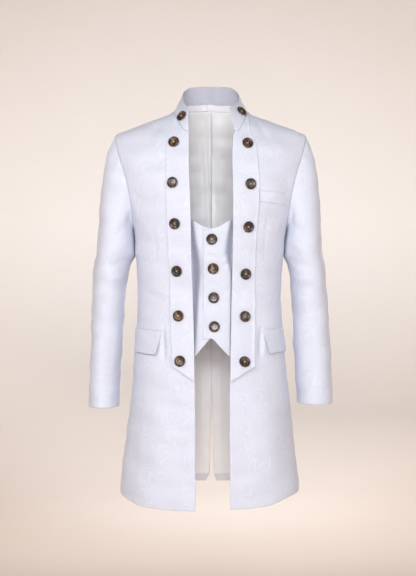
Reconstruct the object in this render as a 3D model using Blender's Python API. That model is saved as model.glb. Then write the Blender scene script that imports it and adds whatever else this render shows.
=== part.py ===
"""White frock coat with a stand collar, wide front bands and an inset waistcoat front.

Metres, +Z up. The coat faces -Y and the wearer's left is +X. The origin is level with
the seams where the collar meets the shoulders. Every cloth piece is a thin closed wall,
made from two grids of points: its outer face and its inner face.
"""
import math

import bpy
import numpy as np
from mathutils import Matrix

# Driving dimensions
WALL = 0.002            # coat cloth with its interlining
BAND_WALL = 0.0016      # front bands
LINING_WALL = 0.001
WAISTCOAT_WALL = 0.0014
SEAM = 0.0003           # space between neighbouring pieces
BUTTON_RADIUS = 0.0132
BUTTON_THICK = 0.0042

FULLNESS = 2.4          # superellipse power of the torso's cross-sections
ARMPIT = -0.29          # height of the armhole's lowest point
SHOULDER_POINT = (0.2255, -0.0505)   # width and height where the sleeve head is set
NECK_SIDE = 0.092       # half width of the neckline on the shoulders
CENTRE_BACK = 0.003     # the back seam hangs a little to one side
BACK_NECK_DEPTH = 0.064
ARMHOLE_DEPTH = 0.066   # half the armhole's front-to-back size

# Torso sections: height, half width right and left of the wearer, depth front and back
TORSO = np.array([
    (-0.950, 0.2222, 0.2170, 0.150, 0.150),
    (-0.903, 0.2204, 0.2157, 0.149, 0.149),
    (-0.853, 0.2150, 0.2105, 0.147, 0.146),
    (-0.804, 0.2080, 0.2052, 0.145, 0.143),
    (-0.755, 0.2020, 0.2000, 0.143, 0.139),
    (-0.706, 0.1958, 0.1945, 0.140, 0.134),
    (-0.657, 0.1908, 0.1872, 0.136, 0.128),
    (-0.607, 0.1880, 0.1835, 0.131, 0.121),
    (-0.558, 0.1838, 0.1790, 0.125, 0.113),
    (-0.500, 0.1805, 0.1755, 0.118, 0.104),
    (-0.447, 0.1785, 0.1725, 0.114, 0.100),
    (-0.410, 0.1800, 0.1740, 0.117, 0.103),
    (-0.361, 0.1825, 0.1775, 0.123, 0.109),
    (ARMPIT, 0.1880, 0.1850, 0.129, 0.116),
    (-0.250, 0.1990, 0.1980, 0.130, 0.118),
    (-0.210, 0.2134, 0.2134, 0.130, 0.120),
    (-0.150, 0.2334, 0.2334, 0.130, 0.120),
    (-0.104, 0.2480, 0.2480, 0.130, 0.120),
    (-0.050, 0.2580, 0.2580, 0.130, 0.120),
    (0.060, 0.2640, 0.2640, 0.130, 0.120),
])
# Shoulder line: distance from the middle, height
SHOULDER = np.array([(0, 0.052), (0.045, 0.036), (NECK_SIDE, -0.001), (0.14, -0.0195),
                     SHOULDER_POINT, (0.30, -0.079)])
# Front edge: height, distance from the middle on the wearer's right and left
FRONT_EDGE = np.array([
    (-0.950, 0.0360, 0.0466), (-0.690, 0.0372, 0.0450), (-0.570, 0.0390, 0.0473),
    (-0.450, 0.0425, 0.0500), (-0.340, 0.0460, 0.0525), (-0.220, 0.0478, 0.0527),
    (-0.130, 0.0513, 0.0515), (-0.077, 0.0515, 0.0530), (-0.058, 0.0518, 0.0575)])
# Outer edge of the front band, carried on to the hem as a line of the panel
BAND_EDGE = np.array([
    (-0.950, 0.1060, 0.1180), (-0.750, 0.0950, 0.1080), (-0.615, 0.0880, 0.1014),
    (-0.528, 0.0925, 0.1040), (-0.400, 0.0965, 0.1042), (-0.300, 0.1015, 0.1085),
    (-0.200, 0.1037, 0.1140), (-0.130, 0.1037, 0.1110), (-0.088, 0.1030, 0.1060),
    (-0.052, 0.0935, 0.0930), (-0.019, 0.0912, 0.0912)])
# Line down the back below the neck's side, and the centre back with its vent
BACK_LINE = np.array([
    (-0.950, 0.112, 0.112), (-0.657, 0.092, 0.092), (-0.447, 0.084, 0.084),
    (-0.250, 0.100, 0.100), (-0.100, 0.106, 0.106), (-0.013, 0.096, 0.096)])
BACK_EDGE = np.array([
    (-0.950, 0.0120, 0.0180), (-0.929, 0.0105, 0.0160), (-0.911, 0.0034, 0.0092),
    (-0.800, 0.0008, 0.0080), (-0.720, -0.0012, 0.0062), (-0.657, -CENTRE_BACK, CENTRE_BACK),
    (0.060, -CENTRE_BACK, CENTRE_BACK)])
# Hem: distance from the middle, height on the wearer's right and left
FRONT_HEM = np.array([
    (0.000, -0.9460, -0.9420), (0.090, -0.9455, -0.9412), (0.130, -0.9437, -0.9380),
    (0.158, -0.9420, -0.9320), (0.178, -0.9395, -0.9265), (0.195, -0.9350, -0.9230),
    (0.217, -0.9285, -0.9205)])
BACK_HEM = np.array([(0.000, -0.9315, -0.9315), (0.100, -0.9310, -0.9300),
                     (0.217, -0.9285, -0.9205)])
HEM_TURN = 0.018        # height of the coat's cloth turned up inside, below the lining
# Heights of the panels' rows above the hem, up to the armpit, then to the neck. The sides
# of the last ten lie round the armhole.
ROWS = np.array([
    # front edge, band edge, side, back line, centre back
    (-0.8850, -0.8820, -0.8650, -0.8690, -0.8700),
    (-0.8400, -0.8370, -0.8200, -0.8260, -0.8280),
    (-0.7950, -0.7900, -0.7760, -0.7800, -0.7820),
    (-0.7500, -0.7420, -0.7300, -0.7340, -0.7360),
    (-0.7020, -0.6840, -0.6680, -0.6600, -0.6570),
    (-0.6490, -0.6150, -0.6060, -0.6040, -0.6030),
    (-0.6120, -0.5900, -0.5830, -0.5780, -0.5770),
    (-0.5450, -0.5310, -0.5280, -0.5280, -0.5280),
    (-0.5000, -0.4900, -0.4870, -0.4870, -0.4870),
    (-0.4550, -0.4500, -0.4470, -0.4470, -0.4470),
    (-0.4150, -0.4120, -0.4080, -0.4080, -0.4080),
    (-0.3750, -0.3730, -0.3680, -0.3680, -0.3680),
    (-0.3370, -0.3360, -0.3290, -0.3290, -0.3290),
    (-0.3000, -0.3000, ARMPIT, -0.2950, -0.2950),
    (-0.2770, -0.2770, 0, -0.2700, -0.2680),
    (-0.2520, -0.2520, 0, -0.2430, -0.2420),
    (-0.2270, -0.2260, 0, -0.2130, -0.2120),
    (-0.2010, -0.2010, 0, -0.1820, -0.1810),
    (-0.1740, -0.1660, 0, -0.1500, -0.1490),
    (-0.1480, -0.1260, 0, -0.1170, -0.1160),
    (-0.1240, -0.0880, 0, -0.0830, -0.0820),
    (-0.1010, -0.0520, 0, -0.0460, -0.0460),
    (-0.0790, -0.0190, 0, -0.0130, -0.0100),
    (-0.0580, 0, 0, 0, 0),
])
BAND_FOOT, FLAP_ROWS, WELT_ROWS = 7, (8, 9), (18, 19)   # rows of a panel, hem as 0
ARM_ROWS = 10                                           # rows round half the armhole
BAND_COLUMNS, SIDE_COLUMNS = 5, 6

# Sleeve rings: height, inner and outer edge on the wearer's right, then left, middle and
# half depth front to back
SLEEVE = np.array([
    (-0.335, 0.1895, 0.2795, 0.1848, 0.2750, 0.000, 0.0735),
    (-0.372, 0.1985, 0.2860, 0.1905, 0.2815, 0.001, 0.0720),
    (-0.410, 0.2055, 0.2890, 0.1955, 0.2845, 0.002, 0.0690),
    (-0.460, 0.2106, 0.2915, 0.1998, 0.2870, 0.003, 0.0660),
    (-0.510, 0.2130, 0.2920, 0.2032, 0.2895, 0.001, 0.0640),
    (-0.560, 0.2158, 0.2928, 0.2045, 0.2925, -0.003, 0.0620),
    (-0.610, 0.2200, 0.2943, 0.2062, 0.2955, -0.009, 0.0600),
    (-0.660, 0.2226, 0.2952, 0.2085, 0.2968, -0.015, 0.0580),
    (-0.716, 0.2229, 0.2966, 0.2108, 0.2975, -0.022, 0.0560),
])
HEAD_STEPS = 4          # rows between the armhole and the first ring
# Collar's top edge, from a front end to the centre back: x on the wearer's left, then
# right, y and z. Its columns are those of the neckline.
COLLAR_TOP = np.array([
    (0.0435, 0.0550, -0.085, -0.0015), (0.0520, 0.0580, -0.072, 0.0045),
    (0.0590, 0.0612, -0.057, 0.0115), (0.0645, 0.0642, -0.040, 0.0195),
    (0.0690, 0.0672, -0.021, 0.0285), (0.0715, 0.0688, 0.000, 0.0380),
    (0.0712, 0.0690, 0.019, 0.0490), (0.0665, 0.0650, 0.037, 0.0610),
    (0.0545, 0.0525, 0.052, 0.0720), (0.0300, 0.0270, 0.061, 0.0762),
    (CENTRE_BACK, -CENTRE_BACK, 0.064, 0.0770),
])
COLLAR_STEPS = (0, 0.24, 0.5, 0.76, 1)
COLLAR_SWELL = 0.002
# Waistcoat front, from where it is sewn in to its overlapping edge: share of the way,
# depth behind the coat's outer face, height of its neckline and of its hem
WAISTCOAT = np.array([
    (0.00, WALL + SEAM, -0.277, -0.590), (0.18, 0.0055, -0.268, -0.603),
    (0.36, 0.0100, -0.266, -0.606), (0.52, 0.0135, -0.271, -0.592),
    (0.68, 0.0150, -0.279, -0.570), (0.84, 0.0150, -0.287, -0.551),
    (1.00, 0.0150, -0.289, -0.552)])
WAISTCOAT_STEPS = 8
OVERLAP = 0.018         # how far each waistcoat front passes the middle
FLAP_LIFT = 0.011       # how far the pocket flap's loose corner stands off
# Buttons: distance from the middle and height
BAND_BUTTONS = {
    -1: ((0.0868, -0.086), (0.0890, -0.182), (0.0833, -0.279), (0.0795, -0.392),
         (0.0748, -0.496), (0.0718, -0.602)),
    1: ((0.0874, -0.089), (0.0932, -0.187), (0.0880, -0.287), (0.0820, -0.397),
        (0.0808, -0.498), (0.0782, -0.604)),
}
COLLAR_BUTTONS = {-1: (1.6, 0.44), 1: (2.5, 0.46)}   # columns from the front end, share up
WAISTCOAT_BUTTONS = ((0.0028, -0.316), (0.0056, -0.383), (0.0073, -0.454), (0.0078, -0.522))

CLOTH = ("brocade", (0.83, 0.84, 0.92), 0.55)
SATIN = ("satin", (0.70, 0.70, 0.74), 0.40)
HORN = ("horn", (0.035, 0.022, 0.015), 0.22)


def smooth(at, xs, ys):
    """A curve through the points (xs, ys) that never overshoots them."""
    xs, ys = np.asarray(xs, float), np.asarray(ys, float)
    if xs[0] > xs[-1]:
        xs, ys = xs[::-1], ys[::-1]
    step = np.diff(xs)
    rise = np.diff(ys) / step
    slope = np.zeros_like(ys)
    slope[0], slope[-1] = rise[0], rise[-1]
    before, after = 2 * step[1:] + step[:-1], step[1:] + 2 * step[:-1]
    turn = rise[:-1] * rise[1:] > 0
    slope[1:-1][turn] = (before + after)[turn] / (
        before[turn] / rise[:-1][turn] + after[turn] / rise[1:][turn])
    at = np.clip(at, xs[0], xs[-1])
    i = np.clip(np.searchsorted(xs, at, side="right") - 1, 0, len(step) - 1)
    t = (at - xs[i]) / step[i]
    return ((1 + 2 * t) * (1 - t) ** 2 * ys[i] + t * (1 - t) ** 2 * step[i] * slope[i]
            + t * t * (3 - 2 * t) * ys[i + 1] + t * t * (t - 1) * step[i] * slope[i + 1])


def by_side(table, height, side):
    """A column of a table by height: the wearer's right for side -1, left for +1."""
    return smooth(height, table[:, 0], table[:, 1 if side < 0 else 2])


def shoulder(x):
    return smooth(np.abs(x), SHOULDER[:, 0], SHOULDER[:, 1])


def torso(p):
    """Above zero outside the coat's outer face, below zero inside it."""
    x, y, z = p[..., 0], p[..., 1], p[..., 2]
    half = np.where(x < 0, smooth(z, TORSO[:, 0], TORSO[:, 1]),
                    smooth(z, TORSO[:, 0], TORSO[:, 2]))
    deep = np.where(y < 0, smooth(z, TORSO[:, 0], TORSO[:, 3]),
                    smooth(z, TORSO[:, 0], TORSO[:, 4]))
    rise = np.clip((z - ARMPIT) / (shoulder(x) - ARMPIT), 0, None)
    below, within = 1 - rise ** FULLNESS, 1 - (np.abs(x) / half) ** FULLNESS
    beyond_both = (below < 0) & (within < 0)
    return (np.abs(y) / deep) ** FULLNESS - below * within * np.where(beyond_both, -1, 1)


def slope_of(p):
    near = 1e-5 * np.eye(3)
    return np.stack([(torso(p + e) - torso(p - e)) / 2e-5 for e in near], -1)


def unit(v):
    return v / np.linalg.norm(v, axis=-1, keepdims=True)


def outward(p):
    return unit(slope_of(p))


def onto_torso(p):
    for _ in range(12):
        g = slope_of(p)
        p = p - (torso(p) / (g * g).sum(-1))[..., None] * g
    return p


def solve(axis, low, high, known):
    """The point of the torso's face on a line along one axis, by halving."""
    low, high = float(low), float(high)
    p = np.array(known, float)
    for _ in range(50):
        p[axis] = (low + high) / 2
        if torso(p) > 0:
            high = p[axis]
        else:
            low = p[axis]
    return p


def at_height(x, z, face):
    """Point of the front (face -1) or back (face 1) at a width and a height."""
    return solve(1, 0, face * 0.3, (x, 0, z))


def armhole_point(q, side):
    """Point q of the armhole: 0 on the shoulder, ARM_ROWS at the armpit, back after that."""
    turn = math.pi * q / ARM_ROWS
    middle, half = (SHOULDER_POINT[1] + ARMPIT) / 2, (SHOULDER_POINT[1] - ARMPIT) / 2
    y = -ARMHOLE_DEPTH * math.sin(turn) * (1 - 0.15 * math.cos(turn))
    z = middle + half * math.cos(turn)
    return solve(0, 0, side * 0.30, (0, y, z))


def neck_point(k, side, face):
    """Point k of the neckline, from its front or back end (0) to the shoulder seam."""
    turn = math.pi / 2 * k / BAND_COLUMNS
    if face < 0:
        end = at_height(side * by_side(FRONT_EDGE, ROWS[-1, 0], side), ROWS[-1, 0], -1)
        x = abs(end[0]) + (NECK_SIDE - abs(end[0])) * math.sin(turn)
        x, y = side * x, end[1] * math.cos(turn)
    else:
        x = CENTRE_BACK + (side * NECK_SIDE - CENTRE_BACK) * math.sin(turn)
        y = BACK_NECK_DEPTH * math.cos(turn)
    if k == BAND_COLUMNS:
        return np.array([side * NECK_SIDE, 0, float(shoulder(NECK_SIDE))])
    return solve(2, -0.2, float(shoulder(x)), (x, y, 0))


def shoulder_point(share, side):
    x = NECK_SIDE + share * (SHOULDER_POINT[0] - NECK_SIDE)
    return np.array([side * x, 0, float(shoulder(x))])


def patch(start, end, foot, head):
    """Grid between four edges: columns run from start to end, rows from foot to head."""
    rows, columns = len(start), len(foot)
    v = np.linspace(0, 1, rows)[:, None, None]
    u = np.linspace(0, 1, columns)[None, :, None]
    across = (1 - u) * start[:, None] + u * end[:, None]
    grid = (across + (1 - v) ** 3 * (foot[None] - across[:1])
            + v ** 3 * (head[None] - across[-1:]))
    inside = onto_torso(grid)
    inside[0], inside[-1], inside[:, 0], inside[:, -1] = foot, head, start, end
    return inside


def panel(side, face):
    """Outer face of a front or back, from its middle edge to its side seam and armhole."""
    middle, line = (FRONT_EDGE, BAND_EDGE) if face < 0 else (BACK_EDGE, BACK_LINE)
    first, second = (0, 1) if face < 0 else (4, 3)
    hem = FRONT_HEM if face < 0 else BACK_HEM

    def hem_height(x):
        return by_side(hem, abs(x), side)

    def heights(column, x):
        return [hem_height(x), hem_height(x) + HEM_TURN, *ROWS[:-1, column]]

    def line_up(table, column):
        near_hem = by_side(table, hem_height(0), side)
        return [at_height(side * by_side(table, z, side), z, face)
                for z in heights(column, near_hem)]

    neck = np.array([neck_point(k, side, face) for k in range(BAND_COLUMNS + 1)])
    edge = np.array(line_up(middle, first) + [neck[0]])
    inner = np.array(line_up(line, second) + [neck[-1]])
    down = len(ROWS) + 1 - ARM_ROWS
    seam = [solve(0, 0, side * 0.3, (0, 0, z)) for z in heights(2, hem[-1, 0])[:down]]
    arm = [armhole_point(q if face < 0 else 2 * ARM_ROWS - q, side)
           for q in range(ARM_ROWS, -1, -1)]
    outer = np.array(seam + arm)
    foot_a = [at_height(x, hem_height(x), face)
              for x in np.linspace(edge[0, 0], inner[0, 0], BAND_COLUMNS + 1)]
    deepest = at_height(0, inner[0, 2], face)
    start = math.atan2(inner[0, 1] / deepest[1], inner[0, 0] / outer[0, 0])
    foot_b = []
    for turn in np.linspace(start, 0, SIDE_COLUMNS + 1):
        x = outer[0, 0] * math.cos(turn) / (
            math.cos(turn) ** FULLNESS + math.sin(turn) ** FULLNESS) ** (1 / FULLNESS)
        foot_b.append(at_height(x, hem_height(x), face))
    foot_a[0], foot_a[-1], foot_b[0], foot_b[-1] = edge[0], inner[0], inner[0], outer[0]
    head = np.array([shoulder_point(s, side) for s in np.linspace(0, 1, SIDE_COLUMNS + 1)])
    return np.concatenate([patch(edge, inner, np.array(foot_a), neck),
                           patch(inner, outer, np.array(foot_b), head)[:, 1:]], 1)


def grid_normals(grid, like, closed=False):
    """Unit normals of a grid of points, facing the same way as the vectors in like."""
    down = np.gradient(grid, axis=0)
    if closed:
        along = (np.roll(grid, -1, 1) - np.roll(grid, 1, 1)) / 2
    else:
        along = np.gradient(grid, axis=1)
    n = unit(np.cross(along, down))
    return np.where((n * like).sum(-1, keepdims=True) < 0, -n, n)


def mitre(one, other):
    """Direction of the line where two walls of one thickness meet."""
    both = (one + other) / np.maximum(1 + (one * other).sum(-1, keepdims=True), 0.35)
    return both


def pulled_back(outer, inner, sides, closed=False, by=SEAM / 2 + 0.00005):
    """Moves the named sides of both faces in from their seams."""
    outer, inner = outer.copy(), inner.copy()
    ends = {"foot": (0, 1), "head": (-1, -2)}
    for name in sides:
        if name in ends:
            at, to = ends[name]
            step = by * unit(outer[to] - outer[at])
            outer[at] += step
            inner[at] += step
        else:
            at, to = {"start": (0, 1), "end": (-1, -2)}[name]
            step = by * unit(outer[:, to] - outer[:, at])
            outer[:, at] += step
            inner[:, at] += step
    return outer, inner


def placed(name, mesh, seat=(0, 0, 0), turned=Matrix.Identity(3)):
    """Object for a mesh, on the empty that carries the whole coat."""
    piece = bpy.data.objects.new(name, mesh)
    bpy.context.scene.collection.objects.link(piece)
    piece.parent = bpy.data.objects["coat"]
    piece.location = seat
    piece.rotation_euler = turned.to_euler()
    return piece


def made_mesh(name, points, faces, finish_of):
    """Mesh with its own material, its faces turned outward."""
    points = np.asarray(points, float)
    faces = np.asarray(faces)
    a, b, c = (points[faces[:, i]] for i in range(3))
    if (a * np.cross(b, c)).sum() < 0:
        faces = faces[:, ::-1]
    mesh = bpy.data.meshes.new(name)
    mesh.from_pydata(points.tolist(), [], faces.tolist())
    mesh.update()
    mesh.shade_smooth()
    kind, colour, roughness = finish_of
    material = bpy.data.materials.new(name + "_" + kind)
    material.use_nodes = True
    shader = material.node_tree.nodes["Principled BSDF"]
    shader.inputs["Base Color"].default_value = (*colour, 1)
    shader.inputs["Roughness"].default_value = roughness
    shader.inputs["Metallic"].default_value = 0
    mesh.materials.append(material)
    return mesh


def wall(name, outer, inner, finish_of, closed=False):
    """Closed solid between an outer and an inner grid of the same size."""
    rows, columns = outer.shape[:2]
    index = np.arange(rows * columns).reshape(rows, columns)
    if closed:
        index = np.concatenate([index, index[:, :1]], 1)
    a, b = index[:-1, :-1].ravel(), index[:-1, 1:].ravel()
    c, d = index[1:, 1:].ravel(), index[1:, :-1].ravel()
    out = np.concatenate([np.stack([a, b, c], 1), np.stack([a, c, d], 1)])
    faces = [out, out[:, ::-1] + rows * columns]
    rims = [index[0, ::-1], index[-1]]
    if not closed:
        rims += [index[:, 0], index[::-1, -1]]
    for rim in rims:
        p, q = rim[:-1], rim[1:]
        p_in, q_in = p + rows * columns, q + rows * columns
        faces += [np.stack([p, q, q_in], 1), np.stack([p, q_in, p_in], 1)]
    points = np.concatenate([outer.reshape(-1, 3), inner.reshape(-1, 3)])
    return placed(name, made_mesh(name, points, np.concatenate(faces), finish_of))


def between(grid, rows, columns):
    """Points of a grid at fractional rows and columns."""
    rows, columns = np.broadcast_arrays(rows, columns)
    i = np.clip(np.floor(rows).astype(int), 0, grid.shape[0] - 2)
    j = np.clip(np.floor(columns).astype(int), 0, grid.shape[1] - 2)
    u, v = (rows - i)[..., None], (columns - j)[..., None]
    return ((1 - u) * (1 - v) * grid[i, j] + (1 - u) * v * grid[i, j + 1]
            + u * (1 - v) * grid[i + 1, j] + u * v * grid[i + 1, j + 1])


def sleeve_grid(side):
    """Outer face of a sleeve: its rings from the armhole to the cuff."""
    count = 2 * ARM_ROWS
    turn = 2 * math.pi * np.arange(count) / count
    hole = np.array([armhole_point(q, side) for q in range(count)])
    rings = []
    for row in SLEEVE:
        z, inner, outer = (row[0], row[1], row[2]) if side < 0 else (row[0], row[3], row[4])
        middle, half = (outer + inner) / 2, (outer - inner) / 2
        full = (np.abs(np.cos(turn)) ** 2.2 + np.abs(np.sin(turn)) ** 2.2) ** (-1 / 2.2)
        rings.append(np.stack([side * (middle + half * full * np.cos(turn)),
                               row[5] - row[6] * full * np.sin(turn),
                               np.full(count, z)], 1))
    leave = np.stack([side * (0.068 + 0.027 * np.cos(turn) - 0.002 * np.cos(2 * turn)),
                      -0.028 * np.sin(turn),
                      -0.072 - 0.065 * np.cos(turn) + 0.022 * np.cos(2 * turn)], 1)
    reach = 0.175 + 0.115 * np.cos(turn)
    arrive = np.stack([side * 0.06 * reach, 0 * reach, -reach], 1)
    head = []
    for t in np.arange(HEAD_STEPS) / HEAD_STEPS:
        head.append((2 * t ** 3 - 3 * t * t + 1) * hole + (t ** 3 - 2 * t * t + t) * leave
                    + (3 * t * t - 2 * t ** 3) * rings[0] + (t ** 3 - t * t) * arrive)
    return np.array(head + rings)


def collar_grid(neck):
    """Outer face of the stand collar, over the whole neckline's points."""
    half = len(neck) // 2
    left, right = COLLAR_TOP[:, [0, 2, 3]], COLLAR_TOP[:, [1, 2, 3]] * (-1, 1, 1)
    top = np.concatenate([left, right[:half][::-1]])
    away = unit((neck + top) * (1, 1, 0))[None]
    share = np.array(COLLAR_STEPS)[:, None, None]
    return neck * (1 - share) + top * share + COLLAR_SWELL * 4 * share * (1 - share) * away


def button_mesh(sides=16):
    """Turned button with a raised rim and a hollow middle, its back at height 0."""
    r, h = BUTTON_RADIUS, BUTTON_THICK
    profile = [(0, 0), (0.86 * r, 0), (r, 0.45 * h), (0.90 * r, h), (0.66 * r, 0.72 * h),
               (0, 0.60 * h)]
    points, rings = [], []
    for radius, height in profile:
        count = sides if radius else 1
        rings.append(range(len(points), len(points) + count))
        for turn in 2 * math.pi * np.arange(count) / count:
            points.append((radius * math.cos(turn), radius * math.sin(turn), height))
    faces = []
    for low, high in zip(rings, rings[1:]):
        for i in range(sides):
            j = (i + 1) % sides
            if len(low) > 1:
                faces.append((low[i], low[j], high[i % len(high)]))
            if len(high) > 1:
                faces.append((low[j % len(low)], high[j], high[i]))
    return made_mesh("button", points, faces, HORN)


def button(name, mesh, seat, facing):
    """One button, its back on the seat, upright and turned to face outward."""
    across = unit(np.cross((0, 0, 1), facing))
    turned = Matrix((across, np.cross(facing, across), facing)).transposed()
    return placed(name, mesh, seat, turned)


def seat_on(face, point, clear=SEAM):
    """Seat and facing of a button at a place on a grid: it clears the grid all round."""
    rows, columns = np.meshgrid(np.linspace(0, face.shape[0] - 1, 12 * face.shape[0]),
                                np.linspace(0, face.shape[1] - 1, 12 * face.shape[1]),
                                indexing="ij")
    cloth = between(face, rows, columns)
    normal = grid_normals(cloth, cloth * (1, 1, 0)).reshape(-1, 3)
    cloth = cloth.reshape(-1, 3)
    if len(point) == 2:
        nearest = ((cloth[:, [0, 2]] - point) ** 2).sum(1)
    else:
        nearest = ((cloth - point) ** 2).sum(1)
    at = nearest.argmin()
    near = ((cloth - cloth[at]) ** 2).sum(1) < (1.1 * BUTTON_RADIUS) ** 2
    facing = unit(normal[near].mean(0))
    lift = ((cloth[near] - cloth[at]) @ facing).max()
    return cloth[at] + (lift + clear) * facing, facing


def build():
    for piece in list(bpy.data.objects):
        bpy.data.objects.remove(piece)
    coat = bpy.data.objects.new("coat", None)
    bpy.context.scene.collection.objects.link(coat)
    horn_button = button_mesh()

    fronts = {side: panel(side, -1) for side in (-1, 1)}
    backs = {side: panel(side, 1) for side in (-1, 1)}
    sleeves = {side: sleeve_grid(side) for side in (-1, 1)}
    columns = BAND_COLUMNS
    neck = np.concatenate([fronts[1][-1, :columns], backs[1][-1, columns::-1],
                           backs[-1][-1, 1:columns + 1], fronts[-1][-1, columns - 1::-1]])
    collar = collar_grid(neck)

    # Where walls meet at an angle, both follow the mitre between them
    collar_normal = grid_normals(collar, collar * (1, 1, 0))
    neck_mitre = mitre(outward(neck), collar_normal[0])
    half = 2 * columns
    neck_parts = {(1, -1): neck_mitre[:columns + 1], (1, 1): neck_mitre[half:columns - 1:-1],
                  (-1, 1): neck_mitre[half:half + columns + 1],
                  (-1, -1): neck_mitre[:half + columns - 1:-1]}
    sleeve_mitre = {}
    sleeve_normal = {}
    for side, grid in sleeves.items():
        middle = grid.mean(1, keepdims=True)
        normal = grid_normals(grid, grid - middle, closed=True)
        sleeve_normal[side] = normal
        sleeve_mitre[side] = mitre(outward(grid[0]), normal[0])

    def coat_wall(name, grid, side, face):
        """Makes a front or a back, and gives its inner face as far as its seams."""
        normal = outward(grid)
        normal[-1, :columns + 1] = neck_parts[side, face]
        arm = range(ARM_ROWS + 1)
        for q in arm:
            index = q if face < 0 else (2 * ARM_ROWS - q) % (2 * ARM_ROWS)
            normal[-1 - q, -1] = sleeve_mitre[side][index]
        inside = grid - WALL * normal
        outer, inner = pulled_back(grid, inside, ("head", "end"))
        if face > 0:
            outer, inner = pulled_back(outer, inner, ("start",))
        wall(name, outer, inner, CLOTH)
        return inside

    hand = {-1: "right", 1: "left"}
    for side in (-1, 1):
        front, back, name = fronts[side], backs[side], hand[side]
        coat_wall("front_" + name, front, side, -1)
        back_inside = coat_wall("back_" + name, back, side, 1)

        # Sleeve
        normal = sleeve_normal[side].copy()
        normal[0] = sleeve_mitre[side]
        outer, inner = pulled_back(sleeves[side], sleeves[side] - WALL * normal, ("foot",))
        wall("sleeve_" + name, outer, inner, CLOTH, closed=True)

        # Front band: the panel's own points, moved out
        part = front[BAND_FOOT:, :columns + 1]
        normal = outward(part)
        outer, inner = pulled_back(part + (SEAM + BAND_WALL) * normal, part + SEAM * normal,
                                   ("head",), by=0.0012)
        wall("band_" + name, outer, inner, CLOTH)
        for i, place in enumerate(BAND_BUTTONS[side]):
            seat, facing = seat_on(outer, (side * place[0], place[1]))
            button("button_%s_%d" % (name, i + 1), horn_button, seat, facing)

        # Pocket flap, standing off at its lower front corner
        low, high = FLAP_ROWS
        share = np.linspace(0, 1, 4)[:, None]
        across = columns + np.array([[1, 2, 3, 4, 5, 5.6]]) + 0.45 * (1 - share) * [
            [1, 0, 0, 0, 0, 0]]
        rows, reach = low + share * (high - low), (across - columns - 1) / 4.6
        under = between(front, rows, across)
        normal = outward(under)
        stand = (SEAM + 0.0003 + FLAP_LIFT * (1 - share) ** 1.3 * (1 - reach) ** 1.5)[..., None]
        wall("flap_" + name, under + (stand + BAND_WALL) * normal, under + stand * normal, CLOTH)

        # Back lining, from just above the hem: the back's inner face, moved in
        normal = outward(back[1:])
        outer = back_inside[1:] - SEAM * normal
        outer, inner = pulled_back(outer, outer - LINING_WALL * normal,
                                   ("head", "end", "start"))
        wall("lining_" + name, outer, inner, SATIN)

    # Breast pocket welt on the wearer's left
    low, high = WELT_ROWS
    share = np.linspace(0, 1, 2)[:, None]
    across = columns + np.array([[0.22, 1, 2, 3, 4, 4.35]])
    share = share + 0.22 * (1 - share) * (across - columns) / 4.35
    under = between(fronts[1], low + share * (high - low), across)
    normal = outward(under)
    wall("breast_welt", under + (SEAM + 0.0003 + BAND_WALL) * normal,
         under + (SEAM + 0.0003) * normal, CLOTH)

    # Collar, its neck band and tab
    normal = collar_normal.copy()
    inside = collar - WALL * normal
    inside[0] = collar[0] - WALL * neck_mitre
    outer, inner = pulled_back(collar, inside, ("foot",))
    wall("collar", outer, inner, CLOTH)
    for side, (column, share) in COLLAR_BUTTONS.items():
        column = column if side > 0 else 2 * half - column
        row = np.interp(share, COLLAR_STEPS, range(len(COLLAR_STEPS)))
        seat, facing = seat_on(outer, between(outer, row, column))
        button("button_collar_" + hand[side], horn_button, seat, facing)
    part = slice(columns, 3 * columns + 1)
    outer = inside[:2, part] - SEAM * normal[:2, part]
    outer, inner = pulled_back(outer, outer - LINING_WALL * normal[:2, part], ("foot",))
    wall("neck_band", outer, inner, SATIN)
    rows, across = np.array([[0.0], [1.0]]), columns + np.array([[0.35, 0.66, 0.97]])
    face = between(inner, rows, across)
    facing = np.array([0, -1, 0.0])
    near = face + (SEAM + 0.0002) * facing
    wall("neck_tab", near, near + 0.0006 * facing, SATIN)

    # Waistcoat fronts: the wearer's left laps over the right
    for side in (-1, 1):
        sewn = fronts[side][FLAP_ROWS[0]:FLAP_ROWS[0] + WAISTCOAT_STEPS + 1, columns]
        extra = 0 if side > 0 else WAISTCOAT_WALL + 0.0008
        share = WAISTCOAT[:, 0]
        deep = WAISTCOAT[:, 1] + extra * np.clip(2 * share, 0, 1)
        x = sewn[:, None, 0] * (1 - share) - side * OVERLAP * share
        up = np.linspace(0, 1, len(sewn))[:, None]
        z = WAISTCOAT[:, 3] + (WAISTCOAT[:, 2] - WAISTCOAT[:, 3]) * up
        z[:, 0] = sewn[:, 2]
        face = np.array([[at_height(a, b, -1) for a, b in zip(*pair)] for pair in zip(x, z)])
        normal = outward(face)
        outer = face - deep[:, None] * normal
        inner = outer - WAISTCOAT_WALL * normal
        wall("waistcoat_" + hand[side], outer, inner, CLOTH)
        if side > 0:
            for i, place in enumerate(WAISTCOAT_BUTTONS):
                seat, facing = seat_on(outer, place)
                button("button_waistcoat_%d" % (i + 1), horn_button, seat, facing)


build()
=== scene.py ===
# %% [markdown]
# A white frock coat, filled out as if worn. It is cut from bluish-white jacquard brocade: two
# fronts, two backs, two sleeves, a stand collar, wide front bands, pocket flaps, a breast welt
# and a waistcoat front that is sewn in. The backs are lined with grey-white satin, and eighteen
# dark imitation horn buttons are sewn on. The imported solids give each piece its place, and this
# file makes the cloth that shows. We load the solids first and keep their outer box.

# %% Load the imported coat
import math

import bpy
import numpy as np
from mathutils import Matrix, Vector


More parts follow.
